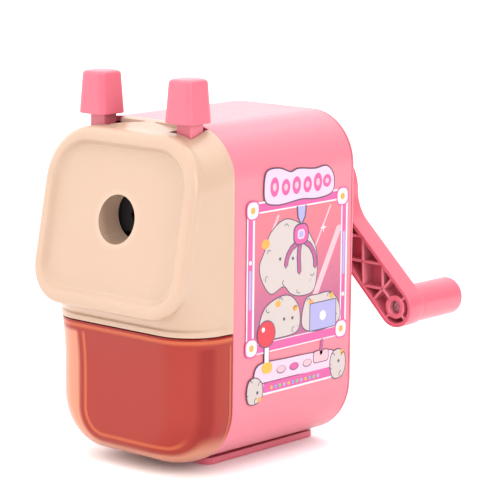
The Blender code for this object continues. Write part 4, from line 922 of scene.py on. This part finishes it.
# %% [markdown]
# Two notches at the back of the head's top let the button necks swing. They are open to the
# seam, and a shallow ramp runs into each of them. Cutting them out of the finished skin with a
# Boolean is what a toolmaker does too: the notch is a block of steel in the mould.

# %% Notches for the buttons
NOTCH_IN, NOTCH_OUT = 13.1 * MM, 22.3 * MM
NOTCH_FLOOR, NOTCH_DEPTH = 103.6 * MM, 8.9 * MM
RAMP_IN, RAMP_OUT = 2.1 * MM, 13.6 * MM


def block(name, low, high):
    """A rectangular cutter between two corners."""
    builder = bmesh.new()
    bmesh.ops.create_cube(builder, size=1.0)
    middle = (Vector(low) + Vector(high)) / 2
    size = Vector(high) - Vector(low)
    for vertex in builder.verts:
        vertex.co = Vector(c * s for c, s in zip(vertex.co, size)) + middle
    return new_piece(name, builder, CREAM)


def carve(piece, cutters):
    """Cuts the tools out of a piece and throws the tools away."""
    for tool in cutters:
        boolean = piece.modifiers.new("carve", "BOOLEAN")
        boolean.object = tool
    while piece.modifiers[0].type != "BOOLEAN":
        piece.modifiers.remove(piece.modifiers[0])
    bpy.context.view_layer.update()
    carved = bpy.data.meshes.new_from_object(
        piece.evaluated_get(bpy.context.evaluated_depsgraph_get())
    )
    piece.modifiers.clear()
    piece.data = carved
    carved.shade_smooth()
    carved.set_sharp_from_angle(angle=math.radians(SHARP))
    for tool in cutters:
        bpy.data.objects.remove(tool)
    return even_shading(piece)


tools = []
for side in (-1, 1):
    x = sorted((side * NOTCH_IN, side * NOTCH_OUT))
    low = (x[0], SEAM - NOTCH_DEPTH, NOTCH_FLOOR)
    high = (x[1], SEAM + 1 * MM, TOP + 2 * MM)
    tools.append(block(f"notch_{side}", low, high))
    ramp = [
        (side * RAMP_IN, TOP - 0.6 * MM), (side * RAMP_OUT, TOP - 2.0 * MM),
        (side * RAMP_OUT, TOP + 2.0 * MM), (side * RAMP_IN, TOP + 2.0 * MM),
    ]
    ends = [upright(ramp, SEAM - NOTCH_DEPTH + 0.2 * MM), upright(ramp, SEAM - 3.2 * MM)]
    tools.append(block_from(f"ramp_{side}", ends, CREAM))
carve(head, tools)
mount(head, "feed_head", ["head_cover"])
print("feed head faces with its notches:", len(head.data.polygons))


# %% [markdown]
# ## The buttons
# Each button is a square cap that narrows upwards, on a flat neck. Real caps of this kind are
# faceted with soft corners and a slightly crowned top, so the skin runs through level rounded
# squares and ends in three that pull in quickly.

# %% Button caps and necks
CAP_X, CAP_Y, CAP_BASE = 18.7 * MM, SEAM - 6.2 * MM, 112.0 * MM
CAP_HALF_X, CAP_HALF_Y = 5.8, 5.95
TAPER_X, TAPER_Y = 0.95, 0.85
NECK_X, NECK_Y = 18.75 * MM, SEAM - 5.4 * MM


def soft_square(centre, half_x, half_y, radius, z, steps=8):
    x, y = centre
    outline = rounded(half_x, half_y, -half_y, radius, radius, steps, 1)
    return [(x + a, y + b, z) for a, b in outline]


def button(side):
    name = "left" if side < 0 else "right"
    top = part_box(f"{name}_button")[1].z
    foot = [(0.0, 0.35, 0.0), (0.12, 0.1, 0.0), (0.4, 0.0, 0.02)]
    crown = [
        (4.0, 0.0, 0.72), (1.5, 0.0, 0.9), (1.05, 0.08, 0.93), (0.68, 0.3, 0.95), (0.4, 0.65, 0.97),
        (0.24, 1.1, 1.0), (0.12, 1.9, 1.0), (0.03, 2.9, 1.0), (0.0, 3.6, 1.0),
    ]
    steps = [(CAP_BASE + up * MM, inset, share) for up, inset, share in foot]
    steps += [(top - down * MM, inset, share) for down, inset, share in crown]
    loops = []
    for z, inset, share in steps:
        half_x = (CAP_HALF_X - TAPER_X * share - inset) * MM
        half_y = (CAP_HALF_Y - TAPER_Y * share - inset) * MM
        radius = min(half_x, half_y) * 0.5
        loops.append(soft_square((side * CAP_X, CAP_Y), half_x, half_y, radius, z))
    builder = bmesh.new()
    skin(builder, loops)
    skin(builder, [
        soft_square((side * NECK_X, NECK_Y), 3.15 * MM, 2.9 * MM, 0.5 * MM, z, 4)
        for z in (NOTCH_FLOOR, CAP_BASE + MM)
    ])
    piece = even_shading(new_piece(f"{name}_button_skin", builder, PINK))
    return mount(piece, f"{name}_lever", [f"{name}_button"])


for side in (-1, 1):
    button(side)
print("the buttons stand apart in mm:", round(2 * CAP_X / MM, 1))


# %% [markdown]
# ## The drawer
# A tray of clear plastic whose front is rounded in plan and bows out towards the lip. Its wall
# has a real thickness, because clear plastic shows both of its faces.

# %% Drawer
DRAWER_FRONT = SEAM - 17.3 * MM
FLARE, FLARE_Z = 1.7 * MM, 30.0 * MM
GAP = 0.4 * MM
FACE_RISE, FACE_RADIUS = 8.0 * MM, 9.0 * MM
LIFT = 10 * MM


def drawer_outline(inset=0.0, top=DRAWER_TOP):
    return rounded(
        HALF_WIDTH - inset, top, BOTTOM + inset, 0.6 * MM, BOTTOM_RADIUS - inset, CORNER, SIDE
    )


def drawer_face(z):
    rise = max(z - FLARE_Z, 0) / (DRAWER_TOP - FLARE_Z)
    return DRAWER_FRONT - FLARE * rise**2


def face_outline(shrink=0.0):
    half = HALF_WIDTH - LIP_RADIUS - shrink
    low = BOTTOM + FACE_RISE + shrink
    return rounded(half, DRAWER_TOP - shrink, low, 0.6 * MM, FACE_RADIUS - shrink, CORNER, SIDE)


def turned_front(sweep, wall=0.0):
    """Carries the side outline round into the front, as a quarter turn in plan."""
    loop = []
    side_y = DRAWER_FRONT + LIP_RADIUS
    for (x0, z0), (x1, z1) in zip(drawer_outline(wall), face_outline()):
        share = 1 - math.cos(sweep)
        x = x0 + (x1 - x0) * share
        z = z0 + (z1 - z0) * share
        loop.append((x, side_y + (drawer_face(z) + wall - side_y) * math.sin(sweep), z))
    return loop


def on_drawer(outline):
    return [(x, drawer_face(z), z) for x, z in outline]


seam = SEAM - 0.3 * MM
tray = drawer_outline(WALL + GAP, DRAWER_TOP - 1.2 * MM)
loops = [upright(tray, drawer_high.y), upright(tray, seam)]
loops += [upright(drawer_outline(0.3 * MM), seam), upright(drawer_outline(), seam - 0.3 * MM)]
sweeps = [math.radians(6 * k) for k in range(16)]
loops += [turned_front(sweep) for sweep in sweeps]
loops += [on_drawer(face_outline(shrink * MM)) for shrink in (1.5, 4.0)]
centre_z = (face_outline()[0][1] + DRAWER_TOP) / 2
for share in (0.2, 0.4, 0.6, 0.8, 0.97):
    inner = [(x * (1 - share), z + (centre_z - z) * share) for x, z in face_outline(4.0 * MM)]
    loops.append(on_drawer(inner))
drawer = skinned("drawer_skin", loops, AMBER)


def lifted(loop):
    """Raises a hollow's top edge through the open top of the tray."""
    return [(x, y, z + LIFT if z > DRAWER_TOP - 3.2 * MM else z) for x, y, z in loop]


inside = drawer_outline(WALL + GAP + WALL)
loops = [lifted(upright(inside, drawer_high.y - WALL)), lifted(upright(inside, seam - WALL))]
loops += [lifted(turned_front(sweep, WALL)) for sweep in sweeps[3::2]]
hollow = skinned("hollow", loops, AMBER)
carve(drawer, [hollow])
mount(drawer, "drawer", ["shavings_drawer"])
print("drawer faces:", len(drawer.data.polygons))


# %% [markdown]
# ## The crank
# The arm is an open trough: a floor at the back, a thin wall round it, and ribs inside that
# make it stiff for little plastic. The skin goes over the outside, over the rounded rim of the
# wall and down to the floor of the pocket, so the wall has a real thickness everywhere.

# %% Crank arm
CRANK_RADIUS = 52.5 * MM
CRANK_ANGLE = math.radians(-44.0)
HUB, HALF_ARM, END, FILLET = 15.5 * MM, 6.6 * MM, 6.9 * MM, 14.0 * MM
ARM_WALL, ARM_FLOOR = 1.5 * MM, 2.0 * MM
ARM_FRONT, ARM_BACK = arm_low.y, arm_high.y


def arm_point(u, v):
    """From along and across the arm to (x, z)."""
    cos, sin = math.cos(CRANK_ANGLE), math.sin(CRANK_ANGLE)
    return u * cos - v * sin, AXIS_Z + u * sin + v * cos


def arm_outline(inset=0.0):
    hub, half, fillet, end = HUB - inset, HALF_ARM - inset, FILLET + inset, END - inset
    reach = math.sqrt((hub + fillet) ** 2 - (half + fillet) ** 2)
    opening = math.degrees(math.atan2(half + fillet, reach))
    bend = math.degrees(math.asin(half / end))
    points = arc((0, 0), hub, opening, 360 - opening, 60)
    points += arc((reach, -half - fillet), fillet, 180 - opening, 90, 12)[1:]
    points += arc((CRANK_RADIUS, 0), end, -bend - 16, bend + 16, 28)
    points += arc((reach, half + fillet), fillet, 270, 180 + opening, 12)[:-1]
    return [arm_point(u, v) for u, v in points]


ROUND, RIM = 0.7 * MM, 0.35 * MM
SCREW_SINK, STEM_HOLE = 3.5 * MM, 1.7 * MM
grip_centre = ((grip_low.x + grip_high.x) / 2, (grip_low.z + grip_high.z) / 2)
floor = ARM_BACK - ARM_FLOOR
loops = [upright(arm_outline(i), ARM_BACK - d) for i, d in quarter(ROUND, 5)][::-1]
loops += [upright(arm_outline(i), ARM_FRONT + d) for i, d in quarter(RIM, 3)]
loops += [upright(arm_outline(ARM_WALL - i), ARM_FRONT + d) for i, d in quarter(RIM, 3)][::-1]
loops += [upright(arm_outline(ARM_WALL + d), floor - i) for d, i in quarter(0.5 * MM, 3)][::-1]
arm = block_from("crank_arm_skin", loops, PINK)


def drill(name, centre, radius, end, steps):
    """A round tool from behind the arm down to an end."""
    profile = [(radius, ARM_BACK + MM), (radius, end)]
    return block_from(name, turned_loops(profile, centre, steps), PINK)


carve(arm, [
    drill("screw_sink", (0, AXIS_Z), SCREW_SINK, ARM_BACK - 1.8 * MM, 48),
    drill("stem_hole", grip_centre, STEM_HOLE, floor - MM, 32),
])
arm.modifiers.clear()
mount(arm, "crank", ["crank_arm"])
print("crank arm faces:", len(arm.data.polygons))


# %% Ribs, spokes and bosses
def rib(builder, start, end, thick=0.9 * MM, top=0.4 * MM):
    """A thin wall between two points of the arm's plane, with a rounded top edge."""
    a, b = Vector((start[0], 0, start[1])), Vector((end[0], 0, end[1]))
    across = Vector((0, 1, 0)).cross((b - a).normalized()) * thick / 2
    front = ARM_FRONT + top
    loops = []
    for end_point in (a, b):
        loop = []
        for side, y in ((-1, floor + 0.5 * MM), (-1, front + 0.25 * MM), (-0.5, front),
                        (0.5, front), (1, front + 0.25 * MM), (1, floor + 0.5 * MM)):
            loop.append(end_point + across * side + Vector((0, y, 0)))
        loops.append(loop)
    skin(builder, loops)


def boss(builder, centre, radius, bore, front, deep):
    profile = [(bore, deep), (bore, front + 0.3 * MM), (bore + 0.3 * MM, front),
               (radius - 0.3 * MM, front), (radius, front + 0.3 * MM), (radius + 0.15 * MM, deep)]
    skin(builder, turned_loops(profile, centre, 48), ring=True)


def spoke(builder, along, degrees, start, end):
    """A rib that runs outwards from a boss that stands so far along the arm."""
    cos, sin = math.cos(math.radians(degrees)), math.sin(math.radians(degrees))
    ends = [arm_point(along + reach * cos, reach * sin) for reach in (start, end)]
    rib(builder, *ends)


builder = bmesh.new()
POCKET_HALF = HALF_ARM - ARM_WALL + 0.2 * MM
BOSS, BOSS_BORE = 3.9 * MM, 2.3 * MM
HUB_BOSS, HUB_BORE = 7.0 * MM, 4.2 * MM
ROOT = 0.4 * MM
CROSS_PITCH, HALF_CROSS = 12.0 * MM, 5.52 * MM
BAR_BACK = 7.8 * MM
bar = CRANK_RADIUS - BAR_BACK
for k in range(3):
    middle = bar - k * CROSS_PITCH
    for slant in (-1, 1):
        far = (middle, 0) if k == 0 else (middle + HALF_CROSS, slant * POCKET_HALF)
        rib(builder, arm_point(middle - HALF_CROSS, -slant * POCKET_HALF), arm_point(*far))
rib(builder, arm_point(bar, -POCKET_HALF), arm_point(bar, POCKET_HALF))
for degrees, reach in ((0, 5.6 * MM), (90, 5.6 * MM), (180, BAR_BACK), (270, 5.6 * MM)):
    spoke(builder, CRANK_RADIUS, degrees, BOSS - ROOT, reach)
boss(builder, grip_centre, BOSS, BOSS_BORE, ARM_FRONT, floor + 0.5 * MM)
boss(builder, (0, AXIS_Z), HUB_BOSS, HUB_BORE, ARM_FRONT, floor + 0.5 * MM)
for k in range(6):
    spoke(builder, 0, 60 * k + 30, HUB_BOSS - ROOT, HUB - 1.0 * MM)
ribs = new_piece("crank_ribs", builder, PINK)
mount(ribs, "crank")
print("rib faces:", len(ribs.data.polygons))


# %% [markdown]
# ## The grip and the bearing cup
# Both are turned shapes. The grip is a plain sleeve with a soft outer edge. The cup bolts
# over the back of the housing and carries the shaft in its nose.

# %% Grip and bearing cup
grip_radius = (grip_high.x - grip_low.x) / 2
grip_front, grip_back = ARM_BACK + 0.3 * MM, grip_high.y
STEM, GRIP_EDGE, GRIP_ROUND = 1.3 * MM, 0.45 * MM, 1.6 * MM
profile = [(0.3 * MM, grip_low.y), (STEM - 0.2 * MM, grip_low.y), (STEM, grip_low.y + 0.2 * MM)]
profile += [(STEM, grip_front), (grip_radius - GRIP_EDGE, grip_front)]
profile += [(grip_radius - i, grip_front + d) for i, d in quarter(GRIP_EDGE, 3)][::-1]
profile += [(grip_radius - i, grip_back - d) for i, d in quarter(GRIP_ROUND, 8)]
profile += [(grip_radius - 3.0 * MM, grip_back), (0.4 * MM, grip_back)]
grip = skinned("grip_skin", turned_loops(profile, grip_centre, 72), PINK)
mount(grip, "handle", ["grip"])

cup_low, cup_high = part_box("bearing_cup")
flange, flange_front = cup_high.x, BACK + 0.3 * MM
SHAFT_HOLE, PLUG, PLUG_BORE = 4.2, 15.2, 13.8
nose = [(SHAFT_HOLE, 0.0), (8.2, 0.0), (8.7, 0.2), (9.0, 0.8), (9.2, 2.5)]
foot_of_nose = [(10.6, 4.2), (11.4, 2.6), (12.8, 2.05)]
rim_of_flange = [(1.2, 2.0), (0.5, 1.85), (0.1, 1.4), (0.0, 0.9), (0.0, 0.0)]
profile = [(radius * MM, cup_high.y - down * MM) for radius, down in nose]
profile += [(radius * MM, flange_front + up * MM) for radius, up in foot_of_nose]
profile += [(flange - inset * MM, flange_front + up * MM) for inset, up in rim_of_flange]
profile += [(PLUG * MM, flange_front), (PLUG * MM, cup_low.y)]
profile += [(PLUG_BORE * MM, cup_low.y), (PLUG_BORE * MM, flange_front), (SHAFT_HOLE * MM, flange_front)]
cup = skinned("bearing_cup_skin", turned_loops(profile, (0, AXIS_Z), 96), PINK, ring=True)
mount(cup, "housing", ["bearing_cup"])
print("grip and cup across in mm:", [round(2 * r / MM, 1) for r in (grip_radius, flange)])


# %% [markdown]
# ## Rods and screws
# The head slides out on two ground rods, which show when it is drawn forwards. The screws have
# a crowned head with a cross recess, cut with two crossed wedges.

# %% Guide rods
ROD, COLLAR_TALL, ROD_EDGE = 1.7 * MM, 1.2 * MM, 0.3 * MM
for name in ("left", "right"):
    low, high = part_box(f"{name}_guide_rod")
    centre = ((low.x + high.x) / 2, (low.z + high.z) / 2)
    collar = (high.x - low.x) / 2
    profile = [
        (0.2 * MM, low.y), (collar, low.y), (collar, low.y + COLLAR_TALL),
        (ROD, low.y + COLLAR_TALL), (ROD, high.y - ROD_EDGE), (ROD - ROD_EDGE, high.y),
        (0.2 * MM, high.y),
    ]
    piece = skinned(f"{name}_guide_rod_skin", turned_loops(profile, centre, 40), STEEL)
    mount(piece, "feed_head", [f"{name}_guide_rod"])
print("guide rod thickness in mm:", round(2 * ROD / MM, 1))


# %% Cross-head screws
HEAD_TALL, SHANK = 1.1 * MM, 1.3 * MM
CROSS_MOUTH, CROSS_FLOOR = (-0.3 * MM, 1.5 * MM, 0.34 * MM), (0.8 * MM, 0.7 * MM, 0.26 * MM)


def screw_skin(node_name, along_y, body):
    """A crowned head and a plain shank, with the cross cut into the head."""
    low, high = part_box(node_name)
    centre = (low + high) / 2
    radius = (high.x - low.x) / 2
    if along_y:
        outer, direction, taper, point = high.y, -1, 6.0 * MM, 7.0 * MM
    else:
        outer, direction, taper, point = low.z, 1, 3.5 * MM, 4.2 * MM
    profile = [(0.2 * MM, 0.0), (radius * 0.45, 0.02 * MM), (radius * 0.75, 0.14 * MM),
               (radius * 0.93, 0.4 * MM), (radius, 0.75 * MM), (radius, HEAD_TALL),
               (SHANK, HEAD_TALL), (SHANK, taper), (0.4 * MM, point)]

    def stand(x, y, depth):
        if along_y:
            return (centre.x + x, outer + direction * depth, centre.z + y)
        return (centre.x + x, centre.y + y, outer + direction * depth)

    rings = [[stand(x, y, d) for x, y in ring_of(r, steps=36)] for r, d in profile]
    piece = block_from(f"{node_name}_skin", rings, STEEL)
    cutters = []
    for turn in (20, 110):
        cos, sin = math.cos(math.radians(turn)), math.sin(math.radians(turn))
        loops = []
        for depth, long, wide in (CROSS_MOUTH, CROSS_FLOOR):
            corners = ((long, wide), (-long, wide), (-long, -wide), (long, -wide))
            loops.append([stand(a * cos - b * sin, a * sin + b * cos, depth) for a, b in corners])
        cutters.append(block_from("cross", loops, STEEL))
    carve(piece, cutters)
    return mount(piece, body, [node_name])


for name in ("rear_screw_1", "rear_screw_2"):
    screw_skin(name, True, "housing")
screw_skin("crank_screw", True, "crank")
for k in range(1, 5):
    screw_skin(f"foot_screw_{k}", False, "housing")
print("screw head height in mm:", round(HEAD_TALL / MM, 1))


# %% [markdown]
# ## Working parts
# The cutter train, clamp plate and springs keep the frame's own shapes, because they were
# made to fit one another. They only get their finishes.

# %% Finishes on the working parts
working_parts = {
    BLACK: ["inner_frame", "clamp_plate", "ring_gear", "left_jaw", "right_jaw"],
    STEEL: [
        "left_lever_pin", "right_lever_pin", "left_feed_spring", "right_feed_spring",
        "lever_spring", "grip_retainer", "cutter_axle",
    ],
    HARD_STEEL: ["left_rod_clip", "right_rod_clip", "helical_cutter"],
    ZINC: ["cutter_carrier"],
    BRASS: ["cutter_pinion"],
}
for material, names in working_parts.items():
    for name in names:
        part = frame["nodes"][name]
        part.data.materials.clear()
        part.data.materials.append(material)
print("finished working parts:", sum(len(names) for names in working_parts.values()))


# %% [markdown]
# ## Setting
# A plain pale floor that runs out of sight, a sky that is brightest above on the left, a soft
# lamp above and behind, and a tall narrow lamp on the right that draws a line of light down
# the printed side. The camera stands to the right of the front, a little above.

# %% Floor, light and camera
floor_builder = bmesh.new()
REACH = 6.0
CAMERA_PLACE = (0.52155, -0.58650, 0.20558)
CAMERA_LOOK = (-0.6496, 0.7405, -0.1724)
CAMERA_ROLL = 0.010
SKY_LOW, SKY_HIGH = 0.45, 2.3
corners = [(-REACH, -REACH, 0), (REACH, -REACH, 0), (REACH, REACH, 0), (-REACH, REACH, 0)]
floor_builder.faces.new([floor_builder.verts.new(c) for c in corners])
PAPER = bpy.data.materials.new("white_paper")
PAPER.use_nodes = True
paper_shader = PAPER.node_tree.nodes["Principled BSDF"]
paper_shader.inputs["Base Color"].default_value = (0.93, 0.93, 0.93, 1)
paper_shader.inputs["Roughness"].default_value = 0.8
backdrop = new_piece("floor", floor_builder, PAPER)
backdrop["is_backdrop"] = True

world = bpy.data.worlds.new("studio")
world.use_nodes = True
sky = world.node_tree
towards = node(sky, "ShaderNodeTexCoord")
lean = node(sky, "ShaderNodeVectorMath", operation="DOT_PRODUCT")
lean.inputs[1].default_value = Vector((-0.6, -0.35, 0.72)).normalized()
sky.links.new(towards.outputs["Generated"], lean.inputs[0])
sky_level = smooth_mask(sky, lean.outputs["Value"], -0.7, 0.9)
sky_strength = calculate(sky, "MULTIPLY_ADD", sky_level, SKY_HIGH - SKY_LOW, SKY_LOW)
sky.nodes["Background"].inputs["Color"].default_value = (1.0, 1.0, 1.0, 1.0)
sky.links.new(sky_strength, sky.nodes["Background"].inputs["Strength"])
bpy.context.scene.world = world


def softbox(name, place, aim, size, power):
    lamp = bpy.data.lights.new(name, "AREA")
    lamp.shape = "RECTANGLE"
    lamp.size, lamp.size_y = size
    lamp.energy = power
    item = bpy.data.objects.new(name, lamp)
    item.location = place
    item.rotation_mode = "QUATERNION"
    item.rotation_quaternion = (Vector(aim) - Vector(place)).to_track_quat("-Z", "Y")
    bpy.context.scene.collection.objects.link(item)


middle = (0, 0, 0.06)
softbox("top_box", (0.1, 0.25, 0.75), middle, (0.7, 0.6), 1.5)
softbox("strip_box", (0.75, -0.15, 0.42), middle, (0.08, 0.5), 2.6)

camera_data = bpy.data.cameras.new("camera")
camera_data.lens = 181.4
camera_data.sensor_width = 36.0
camera_data.clip_start = 0.01
camera = bpy.data.objects.new("camera", camera_data)
camera.location = CAMERA_PLACE
camera.rotation_mode = "QUATERNION"
turn = Vector(CAMERA_LOOK).to_track_quat("-Z", "Y")
camera.rotation_quaternion = turn @ Quaternion((0, 0, 1), CAMERA_ROLL)
bpy.context.scene.collection.objects.link(camera)
bpy.context.scene.camera = camera
bpy.context.scene.view_settings.view_transform = "Standard"
print("lens in mm:", round(camera_data.lens, 1))


# %% [markdown]
# The last cell measures the finished model's box and prints its size.

# %% Sizes
low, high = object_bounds()
print("visual box in mm:", [round(v / MM, 1) for v in high - low])
